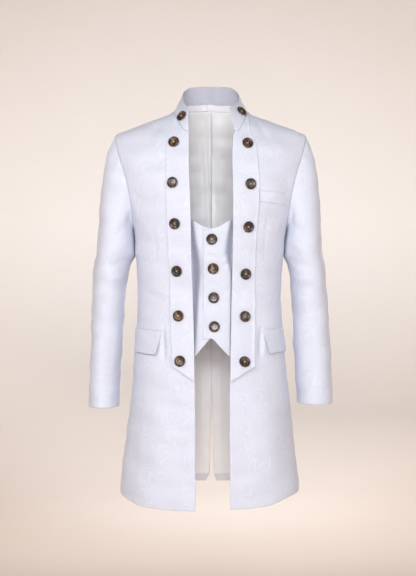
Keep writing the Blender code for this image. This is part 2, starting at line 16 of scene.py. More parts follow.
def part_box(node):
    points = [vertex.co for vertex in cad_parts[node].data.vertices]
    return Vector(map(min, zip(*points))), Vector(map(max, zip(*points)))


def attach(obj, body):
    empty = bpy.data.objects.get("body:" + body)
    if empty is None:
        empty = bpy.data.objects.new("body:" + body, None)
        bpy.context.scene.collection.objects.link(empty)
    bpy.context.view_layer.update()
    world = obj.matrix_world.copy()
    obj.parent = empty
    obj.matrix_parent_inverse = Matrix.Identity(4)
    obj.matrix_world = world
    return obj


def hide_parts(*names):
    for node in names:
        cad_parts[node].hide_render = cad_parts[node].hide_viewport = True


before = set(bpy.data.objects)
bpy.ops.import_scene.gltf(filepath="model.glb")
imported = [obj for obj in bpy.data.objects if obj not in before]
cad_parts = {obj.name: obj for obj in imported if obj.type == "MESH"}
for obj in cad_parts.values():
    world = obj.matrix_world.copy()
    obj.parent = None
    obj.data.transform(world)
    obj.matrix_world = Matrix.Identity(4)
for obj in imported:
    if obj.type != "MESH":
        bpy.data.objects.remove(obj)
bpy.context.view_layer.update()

# %% [markdown]
# The coat faces -Y, the wearer's left is +X, and height 0 is at the shoulders' neck seam. A
# side of -1 is the wearer's right and +1 the left; a face of -1 is the front and +1 the back.
# The tables are in millimetres, as a pattern cutter writes them, and single sizes are in
# metres. They are the sizes that the solids are made from, so each cloth piece lands on its
# solid. First come the thickness of each cloth and the gap that a seam leaves.

# %% Walls, seams and landmarks
MM = 0.001
WALL, BAND_WALL, LINING_WALL, WAISTCOAT_WALL = 0.002, 0.0016, 0.001, 0.0014
SEAM, SET_BACK = 0.0003, 0.0002          # a set-back keeps two sewn edges from touching
ARMPIT, CENTRE_BACK = -0.29, 0.003
HAND = {-1: "right", 1: "left"}
print("cloth", WALL / MM, "mm thick, seams", round(SEAM / MM, 1), "mm wide")

# %% [markdown]
# Curves between the table's rows. A tailor draws a pattern's edge through a few marks without
# letting it bulge past them, and this cubic does the same. Points of the tables in space are
# joined by a spline that passes through each of them.

# %% Curves through the tables
def smooth(at, xs, ys):
    """A curve through the points (xs, ys) that never overshoots them."""
    xs, ys = np.asarray(xs, float), np.asarray(ys, float)
    if xs[0] > xs[-1]:
        xs, ys = xs[::-1], ys[::-1]
    step = np.diff(xs)
    rise = np.diff(ys) / step
    slope = np.zeros_like(ys)
    slope[0], slope[-1] = rise[0], rise[-1]
    before, after = 2 * step[1:] + step[:-1], step[1:] + 2 * step[:-1]
    turn = rise[:-1] * rise[1:] > 0
    slope[1:-1][turn] = (before + after)[turn] / (
        before[turn] / rise[:-1][turn] + after[turn] / rise[1:][turn])
    at = np.clip(at, xs[0], xs[-1])
    i = np.clip(np.searchsorted(xs, at, side="right") - 1, 0, len(step) - 1)
    t = (at - xs[i]) / step[i]
    return ((1 + 2 * t) * (1 - t) ** 2 * ys[i] + t * (1 - t) ** 2 * step[i] * slope[i]
            + t * t * (3 - 2 * t) * ys[i + 1] + t * t * (t - 1) * step[i] * slope[i + 1])


def by_side(table, height, side):
    return smooth(height, table[:, 0], table[:, 1 if side < 0 else 2])


def spline(points, fine, closed=False):
    """Points along a spline through a row of points, so many to each gap."""
    p = np.asarray(points, float)
    ends = (p[-1:], p[:2]) if closed else (2 * p[:1] - p[1:2], 2 * p[-1:] - p[-2:-1])
    p = np.concatenate([ends[0], p, ends[1]])
    t = (np.arange(fine) / fine).reshape((1, fine) + (1,) * (p.ndim - 1))
    a, b, c, d = (p[i:len(p) - 3 + i, None] for i in range(4))
    run = 0.5 * (2 * b + (c - a) * t + (2 * a - 5 * b + 4 * c - d) * t ** 2
                 + (3 * b - a - 3 * c + d) * t ** 3)
    run = run.reshape(-1, *p.shape[1:])
    return run if closed else np.concatenate([run, p[-2:-1]])


print("a curve through 0, 1 and 1, half a step up:", smooth(0.5, (0, 1, 2), (0, 1, 1)))

# %% [markdown]
# The coat narrows at the waist and flares to the hem. It is measured here as a tailor would: at
# twenty heights the half width to each side and the depth in front and behind, and then the
# shoulder line from the middle of the neck past the shoulder point.

# %% Sections of the body
# height, half width right and left of the wearer, depth front and back
TORSO = MM * np.array([
    (-950, 222.2, 217, 150, 150),
    (-903, 220.4, 215.7, 149, 149),
    (-853, 215, 210.5, 147, 146),
    (-804, 208, 205.2, 145, 143),
    (-755, 202, 200, 143, 139),
    (-706, 195.8, 194.5, 140, 134),
    (-657, 190.8, 187.2, 136, 128),
    (-607, 188, 183.5, 131, 121),
    (-558, 183.8, 179, 125, 113),
    (-500, 180.5, 175.5, 118, 104),
    (-447, 178.5, 172.5, 114, 100),
    (-410, 180, 174, 117, 103),
    (-361, 182.5, 177.5, 123, 109),
    (ARMPIT / MM, 188, 185, 129, 116),
    (-250, 199, 198, 130, 118),
    (-210, 213.4, 213.4, 130, 120),
    (-150, 233.4, 233.4, 130, 120),
    (-104, 248, 248, 130, 120),
    (-50, 258, 258, 130, 120),
    (60, 264, 264, 130, 120),
])
# Shoulder line: distance from the middle, height
SHOULDER = MM * np.array([(0, 52), (45, 36), (92, -1), (140, -19.5), (225.5, -50.5), (300, -79)])
NECK_SIDE, SHOULDER_POINT = SHOULDER[2, 0], SHOULDER[4]
print("half width at the waist:", round(float(by_side(TORSO, -0.447, -1)), 4), "m")

# %% [markdown]
# The body of the coat is one smooth form: rounded sections that get narrower at the waist, flare
# to the hem and close over the shoulders. It is written as a rule that says how far a point is
# outside the form, because then any point can be moved onto it, and fronts, backs, bands and
# flaps all share one surface.

# %% The form of the body
FULLNESS = 2.4          # 2 would be an ellipse


def shoulder(x):
    return smooth(np.abs(x), SHOULDER[:, 0], SHOULDER[:, 1])


def torso(p):
    """Above zero outside the coat's outer face, below zero inside it."""
    x, y, z = p[..., 0], p[..., 1], p[..., 2]
    half = np.where(x < 0, smooth(z, TORSO[:, 0], TORSO[:, 1]), smooth(z, TORSO[:, 0], TORSO[:, 2]))
    deep = np.where(y < 0, smooth(z, TORSO[:, 0], TORSO[:, 3]), smooth(z, TORSO[:, 0], TORSO[:, 4]))
    rise = np.clip((z - ARMPIT) / (shoulder(x) - ARMPIT), 0, None)
    below, within = 1 - rise ** FULLNESS, 1 - (np.abs(x) / half) ** FULLNESS
    beyond_both = (below < 0) & (within < 0)
    return (np.abs(y) / deep) ** FULLNESS - below * within * np.where(beyond_both, -1, 1)


print("a point in front is outside:", bool(torso(np.array((0, -0.2, -0.4))) > 0))

# %% [markdown]
# Any point near the form can be moved onto it: the slope says which way is out, and a few steps
# along it reach the surface. Where a point is known in two directions, the third is found by
# halving.

# %% Points on the form
def slope_of(p):
    near = 1e-5 * np.eye(3)
    return np.stack([(torso(p + e) - torso(p - e)) / 2e-5 for e in near], -1)


def unit(v):
    return v / np.maximum(np.linalg.norm(v, axis=-1, keepdims=True), 1e-12)


def outward(p):
    return unit(slope_of(p))


def onto_torso(p):
    for _ in range(8):
        g = slope_of(p)
        p = p - (torso(p) / (g * g).sum(-1))[..., None] * g
    return p


def solve(axis, low, high, known):
    """Points of the form on lines along one axis, found by halving."""
    p = np.array(known, float)
    low, high = (np.broadcast_to(np.asarray(v, float), p.shape[:-1]).copy() for v in (low, high))
    for _ in range(44):
        p[..., axis] = (low + high) / 2
        out = torso(p) > 0
        high, low = np.where(out, p[..., axis], high), np.where(out, low, p[..., axis])
    return p


def at_height(x, z, face):
    x, z = np.broadcast_arrays(np.asarray(x, float), np.asarray(z, float))
    return solve(1, 0, face * 0.3, np.stack([x, 0 * x, z], -1))


print("front of the waist:", at_height(0.0, -0.447, -1).round(4))

# %% [markdown]
# The lines that divide the body into pieces, each given at a few heights for the wearer's right
# and left, because the photographed coat is not quite even. A front runs from its front edge,
# past the outer edge of its band, to the side seam. A back runs from the centre back, where a
# vent opens near the hem, past a line below the neck's side.

# %% Edges of the pieces
# Height, distance from the middle on the wearer's right and left
FRONT_EDGE = MM * np.array([
    (-950, 36, 46.6), (-690, 37.2, 45), (-570, 39, 47.3),
    (-450, 42.5, 50), (-340, 46, 52.5), (-220, 47.8, 52.7),
    (-130, 51.3, 51.5), (-77, 51.5, 53), (-58, 51.8, 57.5)])
# Outer edge of the front band, carried on to the hem
BAND_EDGE = MM * np.array([
    (-950, 106, 118), (-750, 95, 108), (-615, 88, 101.4),
    (-528, 92.5, 104), (-400, 96.5, 104.2), (-300, 101.5, 108.5),
    (-200, 103.7, 114), (-130, 103.7, 111), (-88, 103, 106),
    (-52, 93.5, 93), (-19, 91.2, 91.2)])
# Line down the back below the neck's side, and the centre back with its vent
BACK_LINE = MM * np.array([
    (-950, 112, 112), (-657, 92, 92), (-447, 84, 84),
    (-250, 100, 100), (-100, 106, 106), (-13, 96, 96)])
BACK_EDGE = MM * np.array([
    (-950, 12, 18), (-929, 10.5, 16), (-911, 3.4, 9.2),
    (-800, 0.8, 8), (-720, -1.2, 6.2), (-657, -CENTRE_BACK / MM, CENTRE_BACK / MM),
    (60, -CENTRE_BACK / MM, CENTRE_BACK / MM)])
# Hem: distance from the middle, height on the wearer's right and left
FRONT_HEM = MM * np.array([
    (0, -946, -942), (90, -945.5, -941.2), (130, -943.7, -938),
    (158, -942, -932), (178, -939.5, -926.5), (195, -935, -923),
    (217, -928.5, -920.5)])
BACK_HEM = MM * np.array([(0, -931.5, -931.5), (100, -931, -930), (217, -928.5, -920.5)])
print("coat length from the shoulder seam:", round(-FRONT_HEM[0, 1], 3), "m")

# %% [markdown]
# A front or a back is laid in rows, from its turned-up hem to the shoulder. The table says how
# high each row is on each line. Rows pass through the ends of the band, the flaps, the welt and
# the armhole, so that those pieces can be laid on the front's own points.

# %% Rows of a panel
HEM_TURN = 0.018
ROWS = MM * np.array([
    # front edge, band edge, side, back line, centre back
    (-885, -882, -865, -869, -870),
    (-840, -837, -820, -826, -828),
    (-795, -790, -776, -780, -782),
    (-750, -742, -730, -734, -736),
    (-702, -684, -668, -660, -657),
    (-649, -615, -606, -604, -603),
    (-612, -590, -583, -578, -577),
    (-545, -531, -528, -528, -528),
    (-500, -490, -487, -487, -487),
    (-455, -450, -447, -447, -447),
    (-415, -412, -408, -408, -408),
    (-375, -373, -368, -368, -368),
    (-337, -336, -329, -329, -329),
    (-300, -300, ARMPIT / MM, -295, -295),
    (-277, -277, 0, -270, -268),
    (-252, -252, 0, -243, -242),
    (-227, -226, 0, -213, -212),
    (-201, -201, 0, -182, -181),
    (-174, -166, 0, -150, -149),
    (-148, -126, 0, -117, -116),
    (-124, -88, 0, -83, -82),
    (-101, -52, 0, -46, -46),
    (-79, -19, 0, -13, -10),
    (-58, 0, 0, 0, 0),
])
ARM_ROWS = 10
BAND_COLUMNS, SIDE_COLUMNS = 5, 6
print("rows:", len(ROWS) + 2)

# %% [markdown]
# The seam lines: the armhole, the neckline and the shoulder seam. Two pieces that are sewn
# together read the same line, so their edges meet all the way round, as stitched cloth does.

# %% Seam lines
ARMHOLE_DEPTH, BACK_NECK_DEPTH = 0.066, 0.064


def armhole_point(q, side):
    """Point q of the armhole: 0 on the shoulder, ARM_ROWS at the armpit, back after that."""
    turn = math.pi * np.asarray(q, float) / ARM_ROWS
    middle, half = (SHOULDER_POINT[1] + ARMPIT) / 2, (SHOULDER_POINT[1] - ARMPIT) / 2
    y = -ARMHOLE_DEPTH * np.sin(turn) * (1 - 0.15 * np.cos(turn))
    return solve(0, 0, side * 0.30, np.stack([0 * y, y, middle + half * np.cos(turn)], -1))


def neckline(side, face, fine):
    """The neckline of a panel, from its front or back end to the shoulder seam."""
    turn = math.pi / 2 * np.arange(BAND_COLUMNS * fine + 1) / (BAND_COLUMNS * fine)
    if face < 0:
        end = at_height(side * by_side(FRONT_EDGE, ROWS[-1, 0], side), ROWS[-1, 0], -1)
        x = side * (abs(end[0]) + (NECK_SIDE - abs(end[0])) * np.sin(turn))
        y = end[1] * np.cos(turn)
    else:
        x = CENTRE_BACK + (side * NECK_SIDE - CENTRE_BACK) * np.sin(turn)
        y = BACK_NECK_DEPTH * np.cos(turn)
    line = solve(2, -0.2, shoulder(x), np.stack([x, y, 0 * x], -1))
    line[-1] = (side * NECK_SIDE, 0, shoulder(NECK_SIDE))
    return line


def shoulder_seam(side, fine):
    x = np.linspace(NECK_SIDE, SHOULDER_POINT[0], SIDE_COLUMNS * fine + 1)
    return np.stack([side * x, 0 * x, shoulder(x)], -1)


hole = armhole_point(np.arange(0, 2 * ARM_ROWS, 0.1), 1)
print("armhole round:", round(float(np.linalg.norm(hole - np.roll(hole, 1, 0), axis=1).sum()), 3), "m")

# %% [markdown]
# A front or a back is a grid of points over the body form. Its rows run from the hem to the
# shoulder and its columns from the middle edge, past the band's edge, to the side seam and
# armhole. The grid could come from a simulation of flat cloth, but the outline in the
# photograph is smooth and tailored, so the form is laid directly and folds are added after.

# %% A grid between four edges
ROW_FINE, COLUMN_FINE = 8, 7


def patch(start, end, foot, head):
    """Grid between four edges: columns run from start to end, rows from foot to head."""
    v = np.linspace(0, 1, len(start))[:, None, None]
    u = np.linspace(0, 1, len(foot))[None, :, None]
    across = (1 - u) * start[:, None] + u * end[:, None]
    grid = (across + (1 - v) ** 3 * (foot[None] - across[:1])
            + v ** 3 * (head[None] - across[-1:]))
    inside = onto_torso(grid)
    inside[0], inside[-1], inside[:, 0], inside[:, -1] = foot, head, start, end
    return inside


def between_rows(values):
    """Heights in between the rows of a table."""
    rows = np.arange(len(values))
    return smooth(np.linspace(0, rows[-1], rows[-1] * ROW_FINE + 1), rows, values)


print("points between two rows:", ROW_FINE - 1, "and between two columns:", COLUMN_FINE - 1)

# %% [markdown]
# Two such grids make a panel: one from the middle edge to the band's line, one from there to
# the side seam and the armhole. The hem's edge follows the rounded section of the body, and the
# head is the neckline and the shoulder seam.

# %% Fronts and backs as grids
def panel(side, face):
    middle, line = (FRONT_EDGE, BAND_EDGE) if face < 0 else (BACK_EDGE, BACK_LINE)
    first, second = (0, 1) if face < 0 else (4, 3)
    hem = FRONT_HEM if face < 0 else BACK_HEM

    def hem_height(x):
        return by_side(hem, np.abs(x), side)

    def heights(column, x):
        return np.array([hem_height(x), hem_height(x) + HEM_TURN, *ROWS[:-1, column]])

    def line_up(table, column):
        z = heights(column, by_side(table, hem_height(0), side))
        return z, at_height(side * by_side(table, z, side), z, face)

    neck = neckline(side, face, COLUMN_FINE)
    z = between_rows(np.append(line_up(middle, first)[0], neck[0, 2]))
    edge = at_height(side * by_side(middle, z, side), z, face)
    edge[-1] = neck[0]
    inner = onto_torso(spline(np.concatenate([line_up(line, second)[1], neck[-1:]]), ROW_FINE))
    down = len(ROWS) + 1 - ARM_ROWS
    z = between_rows(np.append(heights(2, hem[-1, 0])[:down], ARMPIT))
    seam = solve(0, 0, side * 0.3, np.stack([0 * z, 0 * z, z], -1))
    q = np.linspace(ARM_ROWS, 0, ARM_ROWS * ROW_FINE + 1)
    outer = np.concatenate([seam[:-1], armhole_point(q if face < 0 else 2 * ARM_ROWS - q, side)])
    x = np.linspace(edge[0, 0], inner[0, 0], BAND_COLUMNS * COLUMN_FINE + 1)
    foot_a = at_height(x, hem_height(x), face)
    deepest = at_height(0, inner[0, 2], face)
    start = math.atan2(inner[0, 1] / deepest[1], inner[0, 0] / outer[0, 0])
    turn = np.linspace(start, 0, SIDE_COLUMNS * COLUMN_FINE + 1)
    round_it = (np.cos(turn) ** FULLNESS + np.sin(turn) ** FULLNESS) ** (1 / FULLNESS)
    x = outer[0, 0] * np.cos(turn) / round_it
    foot_b = at_height(x, hem_height(x), face)
    foot_a[0], foot_a[-1], foot_b[0], foot_b[-1] = edge[0], inner[0], inner[0], outer[0]
    return np.concatenate([patch(edge, inner, foot_a, neck),
                           patch(inner, outer, foot_b, shoulder_seam(side, COLUMN_FINE))[:, 1:]], 1)


fronts = {side: panel(side, -1) for side in (-1, 1)}
backs = {side: panel(side, 1) for side in (-1, 1)}
BAND_LINE = BAND_COLUMNS * COLUMN_FINE
print("points in a panel:", fronts[1].shape[:2], "band line at column", BAND_LINE)

# %% [markdown]
# Folds. Real cloth pulls into soft creases: across the waist, where the band ends, at the elbow
# and where the waistcoat is gathered in. A cloth simulation makes folds, but not where the
# photograph shows them, so the main ones are listed one by one. Each row of a table is one soft
# ridge (depth above 0) or trough (below 0) that runs from one point to another with a bow, is
# steeper on one side, and dies away at its ends. Broad, low ripples keep the rest from being
# perfectly smooth.

# %% Folds and ripples
def folds(across, up, table):
    """Height of the folds of a table at places on a piece, both in metres."""
    total = np.zeros(np.broadcast(across, up).shape)
    for x0, z0, x1, z1, bow, width, depth in table:
        dx, dz = x1 - x0, z1 - z0
        length = math.hypot(dx, dz)
        along = ((across - x0) * dx + (up - z0) * dz) / length ** 2
        aside = ((up - z0) * dx - (across - x0) * dz) / length
        aside = (aside - 4 * bow * along * (1 - along)) / width
        ends = np.clip(1 - (2 * along - 1) ** 2, 0, 1) ** 1.3
        lean = np.where(aside > 0, 1.5, 0.8)
        total += depth * ends * (np.exp(-lean * aside ** 2) - 0.28 * np.exp(-(aside / 2.4) ** 2))
    return total


def ripple(across, up, size=0.0006):
    """Broad uneven ripples, a few centimetres to a hand's width apart."""
    waves = [(0.11, 21, 1.3), (0.085, 68, 0.4), (0.062, 118, 2.2), (0.15, 150, 5.1),
             (0.047, 84, 3.7), (0.07, 41, 4.4)]
    total = 0
    for length, angle, start in waves:
        a = math.radians(angle)
        total = total + np.sin(
            2 * math.pi * (across * math.cos(a) + up * math.sin(a)) / length + start)
    return size * total


def ease(v):
    v = np.clip(v, 0, 1)
    return v * v * (3 - 2 * v)


print("highest ripple:", round(1000 * float(ripple(*np.mgrid[0:1:0.01, 0:1:0.01]).max()), 1), "mm")

# %% [markdown]
# Folds of the fronts, read from the photograph: short smile creases beside the ends of the
# bands, pocket mouths that gape, pulls at the waist, drag lines from the collar and the
# armholes, and long soft folds down the skirt. Each row is in millimetres: from x and height,
# to x and height, bow, half width, depth.

# %% Folds of the fronts
FRONT_FOLDS = MM * np.array([
    # short smile creases beside and below the right band's end
    (-136, -667, -60, -672, -6, 4.2, -3.4),
    (-128, -677, -64, -683, -6, 5.2, 2.4),
    (-96, -648, -39, -655, -4, 4, -2.6),
    (-104, -704, -46, -697, -5, 5, -2.2),
    (-88, -761, -37, -752, -6, 5, -2.6),
    (-122, -738, -50, -727, -6, 8, 1.2),
    # below the left band's end
    (46, -664, 104, -676, -5, 5.5, -1.4),
    (50, -705, 128, -724, -6, 9, 1.4),
    (60, -745, 140, -742, -6, 7, -1),
    # pocket mouths, which gape a little beside the flaps' front ends
    (-111.5, -518, -109, -608, 0, 5.6, -8),
    (120.5, -516, 117.5, -600, 0, 5.6, -8),
    # waist darts and the pull at the waist
    (-136, -275, -126, -385, 2, 4.6, -1.2),
    (137, -240, 128, -372, -2, 4.6, -1.3),
    (-170, -430, -100, -452, -6, 10, -2.2),
    (-176, -468, -106, -470, 5, 10, 1.8),
    (166, -432, 106, -452, 6, 10, -2),
    (170, -466, 108, -474, -5, 10, 1.8),
    # drag lines from the collar to the chest and from the armholes
    (98, -12, 140, -96, 6, 11, -3.2),
    (-98, -10, -150, -94, -6, 12, -2.2),
    (196, -182, 140, -236, 6, 10, -2.2),
    (-198, -180, -136, -244, -6, 11, -2.2),
    (190, -240, 130, -300, 8, 13, 2.2),
    (-190, -236, -128, -304, -8, 13, 2.2),
    # long soft folds that fall down the skirt
    (-90, -700, -62, -960, 6, 22, -3),
    (-140, -640, -128, -970, 5, 26, 2.6),
    (-184, -660, -190, -970, 3, 18, -2.2),
    (88, -700, 78, -960, -6, 22, -2.8),
    (136, -650, 148, -970, -5, 24, 2.4),
    (178, -650, 190, -970, -4, 18, -1.8),
])
print("folds in front:", len(FRONT_FOLDS))

# %% [markdown]
# The backs aren't in the photograph, so their folds are of the same kind and number as the
# fronts': pulls across the waist and from the armholes, and long folds in the skirt. The side
# seam holds the cloth, so folds die away there.

# %% Folds of the backs and the drape
BACK_FOLDS = MM * np.array([
    (-160, -395, -40, -430, -7, 11, -2.8),
    (-166, -440, -30, -452, 6, 10, 2.2),
    (-158, -482, -60, -474, 6, 10, -2.4),
    (160, -398, 36, -434, 7, 11, -2.6),
    (164, -446, 36, -458, -6, 10, 2.2),
    (156, -486, 56, -480, -6, 10, -2.2),
    (-196, -190, -110, -262, -10, 14, -3),
    (-192, -250, -118, -330, -8, 14, 2.6),
    (196, -186, 112, -266, 10, 14, -3),
    (190, -246, 116, -334, 8, 14, 2.6),
    (-70, -20, -110, -110, 6, 13, -2.4),
    (70, -20, 112, -112, -6, 13, -2.4),
    (-50, -560, -62, -970, 8, 22, 6),
    (-96, -540, -112, -970, -6, 24, -5.6),
    (-142, -560, -160, -970, 5, 24, 5.2),
    (-184, -620, -200, -970, 3, 18, -4),
    (54, -560, 66, -970, -8, 22, 5.8),
    (100, -540, 116, -970, 6, 24, -5.6),
    (144, -560, 160, -970, -5, 24, 5.2),
    (182, -620, 194, -970, -3, 18, -4),
])


def drape(p, face):
    """How far a panel's cloth stands off the body form at points of the form."""
    x, z = p[..., 0], p[..., 2]
    seam = ease((np.abs(p[..., 1]) - 0.004) / 0.030)        # the side seam stays put
    own = folds(x, z, FRONT_FOLDS if face < 0 else BACK_FOLDS)
    return seam * own + ripple(x + face * 0.3, z) * (0.35 + 0.65 * seam)


low, high = (f(drape(fronts[1], -1)) for f in (np.min, np.max))
print("folds of the left front: %.1f to %.1f mm" % (1000 * low, 1000 * high))

# %% [markdown]
# A cloth piece is a closed shell: an outer face, an inner face a cloth's thickness below it, and
# a rim. At a folded edge, such as a hem or a front edge, the rim is round. At a seam the outer
# face dips a little, which is the shadow line that shows where two pieces are sewn. The map
# named "cut" holds each point's place on the flat cut in metres, so that the weave runs along
# the grain and has its real size.

# %% Points, edges and the flat cut
def link(thing):
    bpy.context.scene.collection.objects.link(thing)
    return thing


def new_piece(name, points, faces):
    mesh = bpy.data.meshes.new(name)
    mesh.from_pydata(np.asarray(points, float).tolist(), [], faces)
    return link(bpy.data.objects.new(name, mesh))


def edge_view(grid, side):
    """A grid turned so that its row 0 is the named edge."""
    return {"foot": grid, "head": grid[::-1], "start": np.swapaxes(grid, 0, 1),
            "end": np.swapaxes(grid, 0, 1)[::-1]}[side]


def flat_map(outer, closed, grain):
    """Distances along the rows, from the grain line, and up that line, in metres."""
    if closed:
        outer = np.concatenate([outer, outer[:, :1]], 1)
    along = np.linalg.norm(np.diff(outer, axis=1), axis=-1)
    along = np.concatenate([np.zeros((len(outer), 1)), np.cumsum(along, 1)], 1)
    up = np.linalg.norm(np.diff(outer[:, grain], axis=0), axis=-1)
    up = np.concatenate([[0], np.cumsum(up)])
    return along - along[:, grain:grain + 1], np.broadcast_to(up[:, None], along.shape)


square = np.array([[(0, 0, 0), (1, 0, 0)], [(0, 0, 1), (1, 0, 1)]], float)
print("a square of 1 m is", flat_map(square, False, 0)[0].max(), "m wide when flat")

# %% [markdown]
# The shell joins the two grids with a rim of three rows of points: the outer edge, a middle
# that bulges or dips, and the inner edge. A closed shell, such as a sleeve, has a rim at its
# two ends only.

# %% A closed shell of cloth
def shell(name, outer, inner, materials, closed=False, seams={}, grain=0, start=(0.0, 0.0)):
    """Closed mesh between two grids. The inner face takes the last material. seams gives the
    sewn edges, each with how much of it is sewn: 1, or a value for each point along it."""
    rows, columns = outer.shape[:2]
    sides = ("foot", "head") if closed else ("foot", "head", "start", "end")
    outer, inner = outer.copy(), inner.copy()
    thick = float(np.linalg.norm(outer - inner, axis=-1).mean())
    for side, sewn in seams.items():
        o, i = edge_view(outer, side), edge_view(inner, side)
        into = thick * unit(i[0] - o[0]) * np.reshape(sewn, (-1, 1))
        o[0] += 0.34 * into
        o[1] += 0.10 * into
    u, v = flat_map(outer, closed, grain)
    index = np.arange(rows * columns).reshape(rows, columns)
    if closed:
        index = np.concatenate([index, index[:, :1]], 1)
    points = [outer.reshape(-1, 3), inner.reshape(-1, 3)]
    maps = np.stack([u + start[0], v + start[1]], -1)
    quads, corners, skins = [], [], []

    def add_faces(grid, uv, skin):
        a, b = slice(None, -1), slice(1, None)
        ring = ((a, a), (a, b), (b, b), (b, a))
        quads.append(np.stack([grid[k] for k in ring], 2).reshape(-1, 4))
        corners.append(np.stack([uv[k] for k in ring], 2).reshape(-1, 4, 2))
        skins.append(np.full(len(quads[-1]), skin))

    add_faces(index, maps, 0)
    inner_index = index + rows * columns
    add_faces(inner_index[:, ::-1], maps[:, ::-1], len(materials) - 1)
    count = 2 * rows * columns
    rims = {}
    for side in sides:
        o, i = edge_view(outer, side), edge_view(inner, side)
        out = unit(o[0] - o[1])
        bulge = 0.42 - 0.57 * np.reshape(seams.get(side, 0), (-1, 1))
        rims[side] = (o[0] + i[0]) / 2 + bulge * thick * out
    middle = {}
    if closed:
        for side in sides:
            middle[side] = np.append(count + np.arange(columns), count)
            points.append(rims[side])
            count += columns
    else:
        loop = np.concatenate([rims["foot"], rims["end"][1:], rims["head"][::-1][1:],
                               rims["start"][::-1][1:-1]])
        points.append(loop)
        ids = count + np.arange(len(loop))
        c, r = columns - 1, rows - 1
        middle = {"foot": ids[:c + 1], "end": ids[c:c + r + 1],
                  "head": ids[c + r:2 * c + r + 1][::-1],
                  "start": np.append(ids[2 * c + r:], ids[0])[::-1]}
    for side in sides:
        o, i = edge_view(index, side)[0], edge_view(inner_index, side)[0]
        uv = edge_view(maps, side)[0]
        strip = np.stack([o, middle[side], i])
        if side in ("foot", "end"):
            strip = strip[::-1]
        add_faces(strip, np.stack([uv, uv, uv]), 0)
    points, quads = np.concatenate(points), np.concatenate(quads)
    corners, skins = np.concatenate(corners), np.concatenate(skins)
    a, b, c = (points[quads[:, k]] for k in range(3))
    if (a * np.cross(b, c)).sum() < 0:
        quads, corners = quads[:, ::-1], corners[:, ::-1]
    piece = new_piece(name, points, quads.tolist())
    mesh = piece.data
    layer = mesh.uv_layers.new(name="cut")
    layer.data.foreach_set("uv", corners.astype(np.float32).ravel())
    for material in materials:
        mesh.materials.append(material)
    mesh.polygons.foreach_set("material_index", skins.astype(np.int32))
    mesh.update()
    mesh.shade_smooth()
    return piece


print("shells are made from two grids, round edged unless an edge is sewn")

# %% [markdown]
# Cloth is cut flat and then shaped, so the cut is stated with each piece. Its area is measured on
# the shaped piece. Its width and length are the longest row and column of the grid, measured
# along the cloth, with 5 mm added for a seam and rounded up to whole centimetres. The piece
# rides on the coat and stands in for its solid.

# %% The cut and its place on the coat
def cut_size(outer, closed=False):
    """Width, length and area of the flat cut, measured on the shaped piece."""
    if closed:
        outer = np.concatenate([outer, outer[:, :1]], 1)
    width = np.linalg.norm(np.diff(outer, axis=1), axis=-1).sum(1).max()
    length = np.linalg.norm(np.diff(outer, axis=0), axis=-1).sum(0).max()
    one = np.cross(outer[1:, 1:] - outer[:-1, :-1], outer[1:, :-1] - outer[:-1, 1:])
    return float(width), float(length), float(np.linalg.norm(one, axis=-1).sum() / 2)


ALLOWANCE = 0.005
# for each material: the end of a piece's name, and its slot
FINISH = {"brocade_figured": ("_cloth", "brocade"), "satin_lining": ("_satin", "satin"),
          "satin_tape": ("_tape", "satin")}


def worn(node, outer, inner, materials, held, rests_on, closed=False, **edges):
    """Makes a cloth piece in its solid's place and states the cut that it was made from."""
    ending, slot = FINISH[materials[0].name]
    piece = shell(node + ending, outer, inner, materials, closed, **edges)
    width, length, area = cut_size(outer, closed)
    width, length = (math.ceil(100 * v + 100 * ALLOWANCE) / 100 for v in (width, length))
    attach(piece, "root")
    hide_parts(node)
    print("%-18s cut %.2f x %.2f m, area %.3f m2, %d faces" % (
        piece.name, width, length, area, len(piece.data.polygons)))


print("a cut's width and length have", ALLOWANCE / MM, "mm added and are rounded up")

# %% [markdown]
# One function turns a colour, in sRGB hex, into the linear values that shaders use. One adds a
# node with its settings and links, and one sets or links the inputs of a node that is there
# already, such as a shader. Every material below is made with them.

# %% Colours and nodes
def linear(hex_colour):
    parts = [int(hex_colour[i:i + 2], 16) / 255 for i in (1, 3, 5)]
    return tuple(c / 12.92 if c <= 0.04045 else ((c + 0.055) / 1.055) ** 2.4 for c in parts) + (1,)


def fill(tree, node, inputs):
    """Sets or links inputs, by name or in order. A node stands for its first output."""
    for name, value in inputs.items() if isinstance(inputs, dict) else enumerate(inputs):
        value = value.outputs[0] if isinstance(value, bpy.types.Node) else value
        if isinstance(value, bpy.types.NodeSocket):
            tree.links.new(value, node.inputs[name])
        else:
            node.inputs[name].default_value = value


def add(tree, kind, inputs=(), **settings):
    """A node with its settings, its input values and its links."""
    node = tree.nodes.new("ShaderNode" + kind)
    for name, value in settings.items():
        setattr(node, name, value)
    fill(tree, node, inputs)
    return node


def new_material(name):
    material = bpy.data.materials.new(name)
    material.use_nodes = True
    tree = material.node_tree
    return material, tree, tree.nodes["Principled BSDF"]


def per_metre(millimetres):
    """Pattern scale on a map in metres, from the size of one repeat."""
    return 1000.0 / millimetres


def wave_scale(millimetres):
    """The same for a Wave Texture, which has 20 radians to a unit."""
    return per_metre(millimetres) * 2 * math.pi / 20


print("a bluish white in linear values:", tuple(round(c, 3) for c in linear("#CED2E1")))

# %% [markdown]
# The coat's cloth is a polyester jacquard brocade: bluish white, woven on a loom that lifts
# single warp threads, so that satin floats draw a figure on a duller ground. To the eye it is
# nearly one white, and the figure shows as slightly brighter, smoother line work: bent drops
# about 60 mm across, filled with nested lines 6 mm apart and edged with small scallops, with
# sprigs between them. The figure could be a picture, but nodes keep it sharp at any size. Each
# cell of a scattered pattern holds one drop, drawn from the distance and direction to the
# cell's middle.

